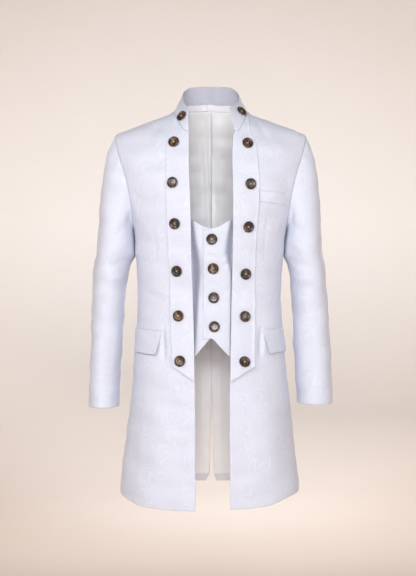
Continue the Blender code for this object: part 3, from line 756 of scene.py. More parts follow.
# %% Figure of the brocade
def drops(tree, place, repeat, lines):
    """Bent drops with nested lines, as wide as the repeat, in millimetres: 0 to 1."""
    cells = add(tree, "TexVoronoi", {"Vector": place, "Scale": per_metre(repeat),
                                     "Randomness": 0.8}, voronoi_dimensions="2D")
    from_middle = add(tree, "VectorMath", (place, cells.outputs["Position"]), operation="SUBTRACT")
    reach = add(tree, "VectorMath", [from_middle], operation="LENGTH").outputs["Value"]
    axes = add(tree, "SeparateXYZ", [from_middle]).outputs
    chance = add(tree, "SeparateColor", [cells.outputs["Color"]])
    angle = add(tree, "Math", (axes["Y"], axes["X"]), operation="ARCTAN2")
    angle = add(tree, "Math", (chance, 2.4, angle), operation="MULTIPLY_ADD")
    angle = add(tree, "Math", (reach, 3000.0 / repeat, angle), operation="MULTIPLY_ADD")
    narrow = add(tree, "Math", [angle], operation="COSINE")
    narrow = add(tree, "Math", (narrow, 0.66, 1.0), operation="MULTIPLY_ADD")
    contour = add(tree, "Math", (reach, narrow), operation="MULTIPLY")
    outline = 0.42 * repeat * MM
    scallop = add(tree, "Math", (angle, 11.0), operation="MULTIPLY")
    scallop = add(tree, "Math", [scallop], operation="SINE")
    deep = add(tree, "MapRange", {"Value": contour, "From Min": 0.5 * outline,
                                  "From Max": outline, "To Min": 0.0, "To Max": 0.0009},
               interpolation_type="SMOOTHSTEP")
    edged = add(tree, "Math", (scallop, deep, contour), operation="MULTIPLY_ADD")
    nested = add(tree, "Math", (edged, 2000 * math.pi / lines), operation="MULTIPLY")
    nested = add(tree, "Math", [nested], operation="SINE")
    nested = add(tree, "MapRange", {"Value": nested, "From Min": 0.0, "From Max": 0.9},
                 interpolation_type="SMOOTHSTEP")
    inside = add(tree, "MapRange", {"Value": edged, "From Min": 1.12 * outline,
                                    "From Max": outline}, interpolation_type="SMOOTHSTEP")
    return add(tree, "Math", (nested, inside), operation="MULTIPLY"), inside


print("a drop is drawn in the distance and direction to its cell's middle")

# %% [markdown]
# The cloth has large drops, small sprigs between them, and a rib. Threads are 0.3 mm apart on
# the real cloth, too fine to show here, so the rib is drawn 1.4 mm wide and very shallow. The
# figure's satin floats are a little smoother than the ground. The wrong side of a jacquard has
# the floats behind it, so it is duller and less blue. The collar is stiffened, and its inside
# gets a darker, greyer copy of the cloth, which is painted shade for the inside of the collar.

# %% Jacquard brocade
DROP, SPRIG, RIB = 58, 19, 1.4          # millimetres


def brocade_material(name, ground, figure, sheen=0.22):
    material, tree, shader = new_material(name)
    cut = add(tree, "UVMap", uv_map="cut")
    bend = add(tree, "TexNoise", {"Vector": cut, "Scale": per_metre(70), "Detail": 1.0})
    bend = add(tree, "VectorMath", (bend.outputs["Color"], (0.5, 0.5, 0.5)), operation="SUBTRACT")
    bend = add(tree, "VectorMath", {0: bend, "Scale": 0.02}, operation="SCALE")
    bent = add(tree, "VectorMath", (cut, bend), operation="ADD")
    stretched = add(tree, "Mapping", {"Vector": bent, "Scale": (1.0, 0.7, 1.0)})
    large, inside = drops(tree, stretched, DROP, 6.2)
    small, _ = drops(tree, bent, SPRIG, 4.6)
    apart = add(tree, "Math", (1.0, inside), operation="SUBTRACT")
    small = add(tree, "Math", (small, apart), operation="MULTIPLY")
    drawn = add(tree, "Math", (small, 0.7, large), operation="MULTIPLY_ADD")
    rib = add(tree, "TexWave", {"Vector": cut, "Scale": wave_scale(RIB), "Distortion": 0.6},
              bands_direction="DIAGONAL")
    colour = add(tree, "Mix", {0: drawn, 6: linear(ground), 7: linear(figure)}, data_type="RGBA")
    height = add(tree, "Math", (rib.outputs["Fac"], 0.16, drawn), operation="MULTIPLY_ADD")
    fill(tree, shader, {
        "Base Color": colour.outputs[2],
        "Roughness": add(tree, "MapRange", {"Value": drawn, "To Min": 0.58, "To Max": 0.50}),
        "Normal": add(tree, "Bump", {"Height": height, "Strength": 0.16, "Distance": 0.0004}),
        "IOR": 1.53, "Specular IOR Level": 0.42,          # polyester fibre
        "Sheen Weight": sheen, "Sheen Roughness": 0.45, "Sheen Tint": linear("#F4F5FF")})
    return material


brocade = brocade_material("brocade_figured", "#CED2E1", "#D2D7E6")
brocade_back = brocade_material("brocade_wrong_side", "#E3E3EC", "#E6E6EE", sheen=0.12)
# painted shade: a darker copy of the cloth for the inside of the collar
collar_inside_painted_shade = brocade_material("brocade_collar_painted_shade", "#B2B3C1", "#B6B7C5", sheen=0.12)
print("materials:", brocade.name, brocade_back.name, collar_inside_painted_shade.name)

# %% [markdown]
# The lining is polyester satin, grey-white, smooth and faintly glossy, with its sheen drawn out
# along the threads. A fine upright streak, a few millimetres wide, stands for the slight
# unevenness of its long floats.

# %% Satin lining
def satin_material(name, low, high):
    material, tree, shader = new_material(name)
    cut = add(tree, "UVMap", uv_map="cut")
    drawn = add(tree, "Mapping", {"Vector": cut, "Scale": (1.0, 0.04, 1.0)})
    streak = add(tree, "TexNoise", {"Vector": drawn, "Scale": per_metre(6), "Detail": 3.0})
    colour = add(tree, "ValToRGB", [streak])
    for stop, at, tone in zip(colour.color_ramp.elements, (0.3, 0.7), (low, high)):
        stop.position, stop.color = at, linear(tone)
    weave = add(tree, "TexWave", {"Vector": cut, "Scale": wave_scale(1.1), "Distortion": 0.4},
                bands_direction="X")
    fill(tree, shader, {
        "Base Color": colour, "Roughness": 0.40, "IOR": 1.53, "Specular IOR Level": 0.45,
        "Anisotropic": 0.35,
        "Normal": add(tree, "Bump", {"Height": weave.outputs["Fac"], "Strength": 0.10,
                                     "Distance": 0.0003})})
    return material


satin = satin_material("satin_lining", "#F9F9FB", "#FCFCFE")
tape = satin_material("satin_tape", "#E0DFE5", "#E6E5EA")
print("materials:", satin.name, tape.name)

# %% [markdown]
# The buttons are cast polyester made to look like buffalo horn: near-black brown with lighter
# brown clouds, machined in a lathe and tumbled to a gloss. The clouds come from noise that is
# stretched and bent, with its own start for each button, because no two sawn blanks are alike.

# %% Imitation horn
horn, tree, shader = new_material("imitation_horn")
place = add(tree, "TexCoord").outputs["Object"]
own = add(tree, "ObjectInfo").outputs["Random"]
own = add(tree, "Math", (own, 40.0), operation="MULTIPLY")
grain = add(tree, "Mapping", {"Vector": place, "Scale": (1.0, 0.38, 1.0), "Rotation": (0, 0, 0.5)})
cloud = add(tree, "TexNoise", {"Vector": grain, "W": own, "Scale": per_metre(9), "Detail": 4.0,
                               "Distortion": 1.6}, noise_dimensions="4D")
shade = add(tree, "ValToRGB", [cloud])
ramp = shade.color_ramp
ramp.elements[0].position, ramp.elements[0].color = 0.40, linear("#17100C")
ramp.elements[1].position, ramp.elements[1].color = 0.70, linear("#9A7450")
for at, tone in ((0.50, "#2A1B13"), (0.58, "#5A3B26")):
    stop = ramp.elements.new(at)
    stop.color = linear(tone)
fill(tree, shader, {"Base Color": shade, "Roughness": 0.30, "IOR": 1.55,     # cast polyester
                    "Coat Weight": 0.25, "Coat Roughness": 0.12})
print("material:", horn.name)

# %% [markdown]
# The buttons are sewn on with pale buff cotton thread. It is matt and soft, with a twist that
# shows as a slanted stripe every half millimetre.

# %% Sewing thread
thread, tree, shader = new_material("cotton_thread")
place = add(tree, "TexCoord").outputs["Object"]
twist = add(tree, "TexWave", {"Vector": place, "Scale": wave_scale(0.5)},
            bands_direction="DIAGONAL")
shade = add(tree, "Mix", {0: twist.outputs["Fac"], 6: linear("#B9A78F"), 7: linear("#DCCDB6")},
            data_type="RGBA")
fill(tree, shader, {"Base Color": shade.outputs[2], "Roughness": 0.75, "IOR": 1.53})
print("material:", thread.name)

# %% [markdown]
# The two sleeves are set-in tubes: cut with a curved head, sewn into the armhole, a little bent
# at the elbow and open at the cuff. The tube leaves the armhole square to the shoulder and then
# runs through rings of the measured widths.

# %% Rings of the sleeves
# Sleeve rings: height, inner and outer edge on the wearer's right, then left, middle, half depth
SLEEVE = MM * np.array([
    (-335, 189.5, 279.5, 184.8, 275, 0, 73.5),
    (-372, 198.5, 286, 190.5, 281.5, 1, 72),
    (-410, 205.5, 289, 195.5, 284.5, 2, 69),
    (-460, 210.6, 291.5, 199.8, 287, 3, 66),
    (-510, 213, 292, 203.2, 289.5, 1, 64),
    (-560, 215.8, 292.8, 204.5, 292.5, -3, 62),
    (-610, 220, 294.3, 206.2, 295.5, -9, 60),
    (-660, 222.6, 295.2, 208.5, 296.8, -15, 58),
    (-716, 222.9, 296.6, 210.8, 297.5, -22, 56),
])
HEAD_STEPS, SLEEVE_ROWS, SLEEVE_COLUMNS = 4, 12, 5
LEFT_CUFF_UP = 0.008


def sleeve_grid(side):
    """Outer face of a sleeve, before its folds."""
    count = 2 * ARM_ROWS * SLEEVE_COLUMNS
    turn = 2 * math.pi * np.arange(count) / count
    hole = armhole_point(np.arange(count) / SLEEVE_COLUMNS, side)
    rings = []
    for row in SLEEVE:
        z, inner, outer = (row[0], row[1], row[2]) if side < 0 else (row[0], row[3], row[4])
        middle, half = (outer + inner) / 2, (outer - inner) / 2
        full = (np.abs(np.cos(turn)) ** 2.2 + np.abs(np.sin(turn)) ** 2.2) ** (-1 / 2.2)
        rings.append(np.stack([side * (middle + half * full * np.cos(turn)),
                               row[5] - row[6] * full * np.sin(turn), np.full(count, z)], 1))
    leave = np.stack([side * (0.068 + 0.027 * np.cos(turn) - 0.002 * np.cos(2 * turn)),
                      -0.028 * np.sin(turn),
                      -0.072 - 0.065 * np.cos(turn) + 0.022 * np.cos(2 * turn)], 1)
    reach = 0.175 + 0.115 * np.cos(turn)
    arrive = np.stack([side * 0.06 * reach, 0 * reach, -reach], 1)
    head = [(2 * t ** 3 - 3 * t * t + 1) * hole + (t ** 3 - 2 * t * t + t) * leave
            + (3 * t * t - 2 * t ** 3) * rings[0] + (t ** 3 - t * t) * arrive
            for t in np.arange(HEAD_STEPS) / HEAD_STEPS]
    grid = spline(np.array(head + rings), SLEEVE_ROWS)
    if side > 0:
        grid[..., 2] += LEFT_CUFF_UP * ease((-0.50 - grid[..., 2]) / 0.2)
    return grid


sleeve_base = {side: sleeve_grid(side) for side in (-1, 1)}
print("points in a sleeve:", sleeve_base[1].shape[:2])

# %% [markdown]
# Folds of the sleeves, placed by the angle round the arm: 0 on the outside, 90 in front, 180
# against the body. They gather inside the elbow and run down from the sleeve's head. The table
# is unrolled to the arm's girth, and each fold is tried one turn to either side, so that it
# carries on past the angle's start.

# %% Folds of the sleeves
GIRTH = 0.36
SLEEVE_FOLDS = np.array([
    # angle, height, to angle, height, bow, half width, depth
    (50, -150, 118, -205, 6, 9, -2.2),
    (42, -195, 105, -218, 4, 7, -1.8),
    (150, -255, 76, -318, 6, 11, -2.8),
    (128, -165, 150, -340, -5, 10, -5.2),
    (158, -300, 70, -352, 7, 11, 2.6),
    (166, -352, 66, -384, 5, 10, -3.4),
    (170, -398, 74, -408, 4, 9, 2.8),
    (168, -438, 62, -430, -5, 10, -3),
    (160, -482, 80, -456, -6, 11, 2),
    (140, -560, 60, -520, -6, 14, -2),
    (150, -640, 84, -610, -5, 13, -1.6),
    (30, -240, 24, -500, 4, 20, -2.4),
    (120, -480, 110, -700, -4, 20, -2.2),
    (214, -300, 290, -352, -6, 12, -2.8),
    (206, -350, 300, -386, -6, 11, 2.6),
    (200, -394, 296, -410, -4, 10, -3),
    (206, -446, 286, -440, 4, 11, 2.2),
    (310, -240, 322, -500, 5, 20, 2.2),
    (262, -500, 270, -700, 4, 18, -2.2),
])
SLEEVE_FOLDS = SLEEVE_FOLDS * (GIRTH / 360, MM, GIRTH / 360, MM, MM, MM, MM)


def ring_folds(angle, up):
    return sum(folds((angle / 360 + turn) * GIRTH, up, SLEEVE_FOLDS) for turn in (-1, 0, 1))


print("folds in a sleeve:", len(SLEEVE_FOLDS))

# %% [markdown]
# Where two walls of cloth meet at a seam, such as a sleeve's and a front's, both are cut off
# along the line halfway between them, as in a mitre. That needs each grid's normals, taken from
# its neighbouring points.

# %% Normals and mitres
def grid_normals(grid, like, closed=False):
    """Unit normals of a grid of points, facing the same way as the vectors in like."""
    down = np.gradient(grid, axis=0)
    if closed:
        along = (np.roll(grid, -1, 1) - np.roll(grid, 1, 1)) / 2
    else:
        along = np.gradient(grid, axis=1)
    n = unit(np.cross(along, down))
    return np.where((n * like).sum(-1, keepdims=True) < 0, -n, n)


def mitre(one, other):
    """Direction of the line where two walls of one thickness meet."""
    return (one + other) / np.maximum(1 + (one * other).sum(-1, keepdims=True), 0.35)


print("mitre of a square corner:", mitre(np.array((1.0, 0)), np.array((0, 1.0))))

# %% [markdown]
# Each sleeve is its tube moved out by its folds. Below the armpit it hangs against the coat's
# side. Its cap is eased into the armhole, so it stands up in soft puckers, and two long seams
# run down it, under the arm and behind the elbow.

# %% Two sleeves
UNDERARM_GAP, PUCKER, LONG_SEAM = 0.0012, 0.0005, 0.0007
sleeve_mitre, arm_columns = {}, 2 * ARM_ROWS * SLEEVE_COLUMNS
for side, grid in sleeve_base.items():
    normal = grid_normals(grid, grid - grid.mean(1, keepdims=True), closed=True)
    sleeve_mitre[side] = mitre(outward(grid[0]), normal[0])
    rows = np.arange(len(grid))[:, None]
    angle = (360 * np.arange(arm_columns) / arm_columns)[None]
    stand = (ring_folds(angle, grid[..., 2]) * (1 if side > 0 else 0.85)
             + ripple(angle / 360 * GIRTH + side, grid[..., 2], 0.0005))
    stand = stand * ease(rows / 10) * ease((len(grid) + 6 - rows) / 14)
    # below the armpit the sleeve hangs against the coat's side
    under = np.clip(-np.cos(np.radians(angle)), 0, 1) ** 4
    space = side * grid[..., 0] - by_side(TORSO, grid[..., 2], side) - UNDERARM_GAP
    near = ease((grid[..., 2] + 0.375) / 0.030) * ease(rows / 8)
    stand = stand * (1 - under * near) + np.clip(space, 0, 0.009) * under * near
    # the cap is eased in, so it stands up in soft puckers just below the armhole seam
    stand = stand + PUCKER * np.sin(np.radians(angle) * 19 + side) * np.exp(-((rows - 4) / 3) ** 2)
    # the two long seams of the sleeve, under the arm and behind the elbow
    for seam in (56, 78):
        stand = stand - np.where(np.arange(arm_columns) == seam, LONG_SEAM, 0)[None]
    outer = grid + stand[..., None] * normal
    normal[0] = sleeve_mitre[side]
    inner = outer - WALL * normal
    outer[0] = grid[0] + SET_BACK * unit(grid[1] - grid[0])
    inner[0] = outer[0] - WALL * normal[0]
    worn("sleeve_" + HAND[side], outer, inner, [brocade, brocade_back], "hung",
         ["front_%s_cloth" % HAND[side], "back_%s_cloth" % HAND[side]], closed=True,
         seams={"foot": 1}, start=(0.4 * side, 0.3))

# %% [markdown]
# The form of the stand collar, made before the fronts and backs. The collar stands up from the
# neckline at an angle, and there the thickness of a front or back follows the line halfway
# between the two walls. The table gives the collar's top edge.

# %% Collar form and the neckline
# Collar's top edge from a front end to the centre back: x on the left, then right, y and z
COLLAR_TOP = MM * np.array([
    (43.5, 55, -85, -1.5), (52, 58, -72, 4.5),
    (59, 61.2, -57, 11.5), (64.5, 64.2, -40, 19.5),
    (69, 67.2, -21, 28.5), (71.5, 68.8, 0, 38),
    (71.2, 69, 19, 49), (66.5, 65, 37, 61),
    (54.5, 52.5, 52, 72), (30, 27, 61, 76.2),
    (CENTRE_BACK / MM, -CENTRE_BACK / MM, 64, 77),
])
COLLAR_SWELL = 0.002
collar_rows = 10
neck = np.concatenate([fronts[1][-1, :BAND_LINE], backs[1][-1, BAND_LINE::-1],
                       backs[-1][-1, 1:BAND_LINE + 1], fronts[-1][-1, BAND_LINE - 1::-1]])
left_top, right_top = COLLAR_TOP[:, [0, 2, 3]], COLLAR_TOP[:, [1, 2, 3]] * (-1, 1, 1)
top = spline(np.concatenate([left_top, right_top[:-1][::-1]]), COLUMN_FINE)
share = np.linspace(0, 1, 4 * collar_rows + 1)[:, None, None]
away = unit((neck + top) * (1, 1, 0))[None]
collar_base = neck * (1 - share) + top * share + COLLAR_SWELL * 4 * share * (1 - share) * away
collar_normal = grid_normals(collar_base, collar_base * (1, 1, 0))
neck_mitre = mitre(outward(neck), collar_normal[0])
half = 2 * BAND_LINE
neck_parts = {(1, -1): neck_mitre[:BAND_LINE + 1], (1, 1): neck_mitre[half:BAND_LINE - 1:-1],
              (-1, 1): neck_mitre[half:half + BAND_LINE + 1],
              (-1, -1): neck_mitre[:half + BAND_LINE - 1:-1]}
print("neckline round:", round(float(np.linalg.norm(np.diff(neck, axis=0), axis=1).sum()), 3), "m")

# %% [markdown]
# Two helpers. One reads a point between the points of a grid, for pieces that are laid on
# another. The other says how much of a panel's folds is left near its sewn edges, where both
# sides of a seam have to meet.

# %% Between points and near seams
def between(grid, rows, columns):
    """Points of a grid at fractional rows and columns."""
    rows, columns = np.broadcast_arrays(rows, columns)
    i = np.clip(np.floor(rows).astype(int), 0, grid.shape[0] - 2)
    j = np.clip(np.floor(columns).astype(int), 0, grid.shape[1] - 2)
    u, v = (rows - i)[..., None], (columns - j)[..., None]
    return ((1 - u) * (1 - v) * grid[i, j] + (1 - u) * v * grid[i, j + 1]
            + u * (1 - v) * grid[i + 1, j] + u * v * grid[i + 1, j + 1])


def sewn_fade(shape):
    """1 over a panel, falling to 0 at its neckline, shoulder seam and armhole."""
    row, column = np.arange(shape[0])[:, None], np.arange(shape[1])[None]
    below_arm = shape[0] - 1 - ARM_ROWS * ROW_FINE
    arm = ease((row - below_arm + 2 * ROW_FINE) / (2 * ROW_FINE))
    near = 1 - ease((shape[1] - 1 - column) / (1.5 * COLUMN_FINE))
    return ease((shape[0] - 1 - row) / (1.5 * ROW_FINE)) * (1 - arm * near)


print("left of a fold at a panel's head:", sewn_fade(fronts[1].shape[:2])[-1].max())

# %% [markdown]
# The fronts and backs. Each is the grid laid over the body form and moved out by its folds. At
# the armhole the thickness follows the mitre with the sleeve, and at the neckline that with the
# collar. The centre back is sewn down to the vent and free below it.

# %% Fronts and backs
VENT_TOP = -0.69
laid = {}
for face, grids in ((-1, fronts), (1, backs)):
    for side, grid in grids.items():
        normal = outward(grid)
        stand = drape(grid, face) * sewn_fade(grid.shape[:2])
        outer = grid + stand[..., None] * normal
        laid[side, face] = (outer, normal, stand)
        across = normal.copy()
        across[-1, :BAND_LINE + 1] = neck_parts[side, face]
        arm = np.linspace(0, ARM_ROWS, ARM_ROWS * ROW_FINE + 1)
        q = (arm if face < 0 else 2 * ARM_ROWS - arm) * SLEEVE_COLUMNS
        ring = np.concatenate([sleeve_mitre[side], sleeve_mitre[side][:1]])
        low = np.floor(q).astype(int).clip(0, len(ring) - 2)
        share = (q - low)[:, None]
        across[-len(arm):, -1] = (ring[low] * (1 - share) + ring[low + 1] * share)[::-1]
        inner = outer - WALL * across
        seams = {"head": 1, "end": 1}
        if face > 0:
            seams["start"] = ease((grid[:, 0, 2] - VENT_TOP) / 0.03)
        kind = "front" if face < 0 else "back"
        name = "%s_%s" % (kind, HAND[side])
        worn(name, outer, inner, [brocade, brocade_back], "draped", ["neck_band"], seams=seams,
             grain=BAND_LINE, start=(1.3 * side, 0.7 * face))

# %% [markdown]
# The front bands are straight strips that lie on the fronts, each with a free outer edge and a
# slanted lower end. Their points are the front's own, moved out by the cloth's thickness, so the
# band follows every fold under it. The lower end is not sewn down and stands off a little,
# which gives the small shadow below it.

# %% Front bands
BAND_FOOT = 7
FOOT_LIFT, EDGE_LIFT, EDGE_LIFT_BELOW, NECK_GAP = {-1: 0.0030, 1: 0.0055}, 0.0007, 0.0022, 0.0012
bands = {}
for side in (-1, 1):
    outer, normal, _ = laid[side, -1]
    part = slice(BAND_FOOT * ROW_FINE, None), slice(0, BAND_LINE + 1)
    face, normal = outer[part], normal[part]
    row = np.arange(len(face))[:, None, None]
    column = np.arange(face.shape[1])[None, :, None]
    edge = EDGE_LIFT + EDGE_LIFT_BELOW * (1 - ease(row / 50))
    lift = FOOT_LIFT[side] * (1 - ease(row / 13)) + edge * ease((column - BAND_LINE + 6) / 6)
    low = face + (SEAM + lift) * normal
    top = low + BAND_WALL * normal
    for grid in (low, top):
        grid[-1] += NECK_GAP * unit(grid[-2] - grid[-1])
    bands[side] = top
    name = "band_" + HAND[side]
    worn(name, top, low, [brocade], "laid", ["front_%s_cloth" % HAND[side]],
         start=(0.2 * side, 0.1))

# %% [markdown]
# Each hip pocket has a flap that hangs from a seam, and its lower front corner curls away from
# the skirt. It lies on the front's own points, as the bands do, but bridges the pocket's mouth.

# %% Pocket flaps
FLAP_ROWS, FLAP_START, FLAP_WIDTH = (8, 9), 1, 4.6          # in rows and columns of the panel
FLAP_LIFT, FLAP_WAVE, BRIDGED, CLEAR = 0.012, 0.0007, -0.0008, 0.0006
for side in (-1, 1):
    _, normal, stand = laid[side, -1]
    outer = fronts[side] + np.maximum(stand, BRIDGED)[..., None] * normal
    share = np.linspace(0, 1, 25)[:, None]
    place = FLAP_START + np.linspace(0, FLAP_WIDTH, 47)[None]
    reach = (place - FLAP_START) / FLAP_WIDTH
    place = place + 0.45 * (1 - share) * np.clip(2 - place, 0, 1)
    rows = (FLAP_ROWS[0] + share * (FLAP_ROWS[1] - FLAP_ROWS[0])) * ROW_FINE
    under = between(outer, rows, (BAND_COLUMNS + place) * COLUMN_FINE)
    facing = unit(between(normal, rows, (BAND_COLUMNS + place) * COLUMN_FINE))
    stand = CLEAR + FLAP_LIFT * (1 - share) ** 1.3 * (1 - reach) ** 1.5
    stand = stand + FLAP_WAVE * np.sin(7.0 * reach + side) * (1 - share)
    low = under + stand[..., None] * facing
    top = low + BAND_WALL * facing
    name = "flap_" + HAND[side]
    worn(name, top, low, [brocade, brocade_back], "hung", ["front_%s_cloth" % HAND[side]],
         seams={"head": 1}, start=(0.6 * side, 0.5))

# %% [markdown]
# The breast welt is a narrow slanted strip on the wearer's left, sewn down on three sides. It
# starts a little beyond the band's edge and rises towards the arm.

# %% Breast welt
WELT_ROWS, WELT_START, WELT_END, WELT_SLANT = (18, 19), 0.22, 4.35, 0.22
outer, normal, _ = laid[1, -1]
place = np.linspace(WELT_START, WELT_END, 42)[None]
share = np.linspace(0, 1, 13)[:, None]
share = share + WELT_SLANT * (1 - share) * place / WELT_END
rows = (WELT_ROWS[0] + share * (WELT_ROWS[1] - WELT_ROWS[0])) * ROW_FINE
under = between(outer, rows, (BAND_COLUMNS + place) * COLUMN_FINE)
facing = unit(between(normal, rows, (BAND_COLUMNS + place) * COLUMN_FINE))
low = under + CLEAR * facing
top = low + BAND_WALL * facing
worn("breast_welt", top, low, [brocade], "laid", ["front_left_cloth"], start=(0.9, 0.2))

# %% [markdown]
# The backs are lined with satin, which shows between the open fronts. A lining is cut a little
# too large on purpose, so it hangs in soft upright folds, with one deeper fold beside the middle
# seam. It ends above the hem, and the coat's own cloth, turned up, shows below it.

# %% Back lining
SLACK, LINING_GAP = 0.0022, 0.0010
LINING_FOLDS = MM * np.array([
    (-19, 30, -2, -320, 2, 6, 8),
    (-4, 20, 13, -330, 3, 11, -2.6),
    (30, 10, 32, -360, -2, 12, 3.2),
    (-48, 0, -36, -340, 2, 11, 3),
    (-25, -420, -30, -960, 4, 10, 3.8),
    (-56, -400, -70, -960, -4, 14, -3),
    (26, -420, 34, -960, -4, 10, 3.8),
    (60, -420, 72, -960, 4, 14, -3),
    (-105, -100, -98, -560, 4, 14, 3.4),
    (105, -100, 98, -560, -4, 14, 3.4),
    (-112, -560, -130, -960, 4, 16, 3.6),
    (112, -560, 130, -960, -4, 16, 3.6),
])
for side in (-1, 1):
    outer, normal, _ = laid[side, 1]
    cut = slice(ROW_FINE, None)
    outer, normal = outer[cut], normal[cut]
    x, z = backs[side][cut][..., 0], backs[side][cut][..., 2]
    row, column = np.arange(len(x))[:, None], np.arange(x.shape[1])[None]
    free = ease((len(x) - 1 - row) / 14) * ease((x.shape[1] - 1 - column) / 10)
    slack = (folds(x, z, LINING_FOLDS) + SLACK + ripple(x, z, 0.0003)) * free
    slack = np.clip(slack, 0, None) * (0.8 + 0.2 * ease(column / 6))
    face = outer - (WALL + SEAM + slack[..., None]) * normal
    inner = face - LINING_WALL * normal
    for grid in (face, inner):
        grid[-1] += LINING_GAP * unit(grid[-2] - grid[-1])
        grid[:, -1] += LINING_GAP * unit(grid[:, -2] - grid[:, -1])
    name = "lining_" + HAND[side]
    sewn = {"start": ease((z[:, 0] - VENT_TOP) / 0.03)}
    worn(name, face, inner, [satin], "hung", ["back_%s_cloth" % HAND[side]], seams=sewn,
         start=(side, 0))

# %% [markdown]
# The stand collar is one curved strip, sewn to the neckline and open in front, where its ends
# fall a little apart. It is stiffened with interlining, so it holds its form, but the back of it
# buckles softly.

# %% Stand collar
count = len(neck)
column = np.arange(count)[None]
row = np.linspace(0, 1, len(collar_base))[:, None]
buckle = sum(depth * np.exp(-((column - at) / width) ** 2) for at, width, depth in (
    (count * 0.465, 4.0, 0.0026), (count * 0.515, 4.0, -0.0034), (count * 0.40, 8.0, -0.0014),
    (count * 0.62, 8.0, 0.0010), (count * 0.26, 6.0, -0.0012), (count * 0.75, 6.0, -0.0012)))
stand = buckle * ease(1.2 * row) + 0.0004 * np.sin(0.21 * column) * row
outer = collar_base + stand[..., None] * collar_normal
inner = outer - WALL * collar_normal
outer[0] = collar_base[0] + SET_BACK * unit(collar_base[1] - collar_base[0])
inner[0] = outer[0] - WALL * neck_mitre
collar_outer = outer
# the collar's inner face takes the darker copy of the cloth, which is painted shade
worn("collar", outer, inner, [brocade, collar_inside_painted_shade], "stretched",
     ["front_left_cloth", "front_right_cloth"], seams={"foot": 1}, start=(0.0, 1.6))

# %% [markdown]
# A narrow pale tape covers the collar's seam inside, round the back of the neck, and a small
# blank loop tab sits on it.

# %% Neck tape and tab
part = slice(BAND_LINE, 3 * BAND_LINE + 1)
tape_rows = int(round(0.24 * 4 * collar_rows)) + 1
face = inner[:tape_rows, part] - SEAM * collar_normal[:tape_rows, part]
face[0] += 0.0003 * unit(face[1] - face[0])
tape_in = face - LINING_WALL * collar_normal[:tape_rows, part]
worn("neck_band", face, tape_in, [tape], "stretched", ["collar_cloth"], start=(0.0, 1.0))

rows = np.linspace(0, tape_rows - 1, 9)[:, None]
across = BAND_LINE + COLUMN_FINE * np.linspace(0.35, 0.97, 13)[None]
inward = -unit(between(collar_normal[:tape_rows, part], rows, across))
face = between(tape_in, rows, across) + (SEAM + SET_BACK) * inward
tab_top = face + (0.0006 + 0.0006 * np.sin(np.linspace(0, math.pi, 9))[:, None, None]) * inward
worn("neck_tab", tab_top, face, [tape], "laid", ["neck_band_tape"], start=(0.3, 1.0))

# %% [markdown]
# The waistcoat front is sewn in behind the bands, and the wearer's left laps over the right.
# Its neckline and hem are given across it, from the band's line to the lap. It is gathered in
# by its buttons, so short folds fan out from the lap and from the place where it leaves the
# band's shadow.

# %% Cut and folds of the waistcoat front
# Waistcoat front: share of the way across, depth behind the coat, neckline and hem heights
WAISTCOAT = np.array([
    (0.00, WALL + SEAM, -0.277, -0.590), (0.18, 0.0055, -0.268, -0.602),
    (0.36, 0.0100, -0.266, -0.598), (0.52, 0.0135, -0.273, -0.583),
    (0.68, 0.0150, -0.285, -0.564), (0.84, 0.0150, -0.291, -0.547),
    (1.00, 0.0150, -0.294, -0.549)])
WAISTCOAT_STEPS = 8
OVERLAP = 0.018
WAISTCOAT_FOLDS = MM * np.array([
    (50, -338, 24, -362, 2, 4, -2.2),
    (50, -352, 23, -374, 2, 4, 1.8),
    (52, -368, 25, -384, 2, 4.5, -2),
    (48, -300, 22, -316, 2, 5, -1.4),
    (48, -430, 25, -446, 2, 5, -1.6),
    (48, -452, 25, -458, -2, 5, 1.4),
    (48, -500, 26, -518, 2, 5.5, -1.6),
    (46, -545, 20, -536, -2, 6, -1.4),
    (-12, -356, 18, -361, 3, 4, -2.2),
    (-12, -420, 20, -424, 3, 5, -1.4),
    (-13, -470, -8, -550, -4, 5, -2.8),
    (-6, -498, 24, -500, 3, 4.5, -2.4),
    (-46, -330, -24, -352, -2, 4.5, -2),
    (-46, -360, -24, -380, -2, 4.5, 1.6),
    (-46, -440, -24, -450, -2, 5, -1.6),
    (-44, -510, -22, -520, -2, 5, -1.4),
])
print("folds in the waistcoat front:", len(WAISTCOAT_FOLDS))

# %% [markdown]
# Beside each band the waistcoat front is pulled back, which gives the dark hollows in the
# photograph. The table gives the width of the dip on each side at several heights, and the dip
# is half as deep again as it is wide.

# %% Dips beside the bands
# How far the cloth beside each band is pulled back: height, width of the dip right and left
WAISTCOAT_DIP = MM * np.array([
    (-600, 4, 3), (-570, 6, 4), (-530, 9, 5), (-477, 14, 5),
    (-423, 21, 6), (-392, 25, 8), (-372, 24, 13), (-350, 20, 19),
    (-320, 14, 17), (-290, 10, 11), (-262, 8, 8)])


def waistcoat_dip(x, z):
    """Depth of the dips between the waistcoat front's middle and the bands."""
    total = 0
    for side in (-1, 1):
        width = by_side(WAISTCOAT_DIP, z, side)
        beyond = by_side(FRONT_EDGE, z, side) + 0.004 - side * x
        total = total + 1.5 * width * np.exp(-(np.clip(beyond, 0, None) / (0.72 * width)) ** 2)
    return total


print("deepest dip:", round(float(waistcoat_dip(-0.05, -0.392)), 3), "m")

# %% [markdown]
# Each half is laid on the body form behind the bands and follows the front's own folds where it
# is sewn to it.

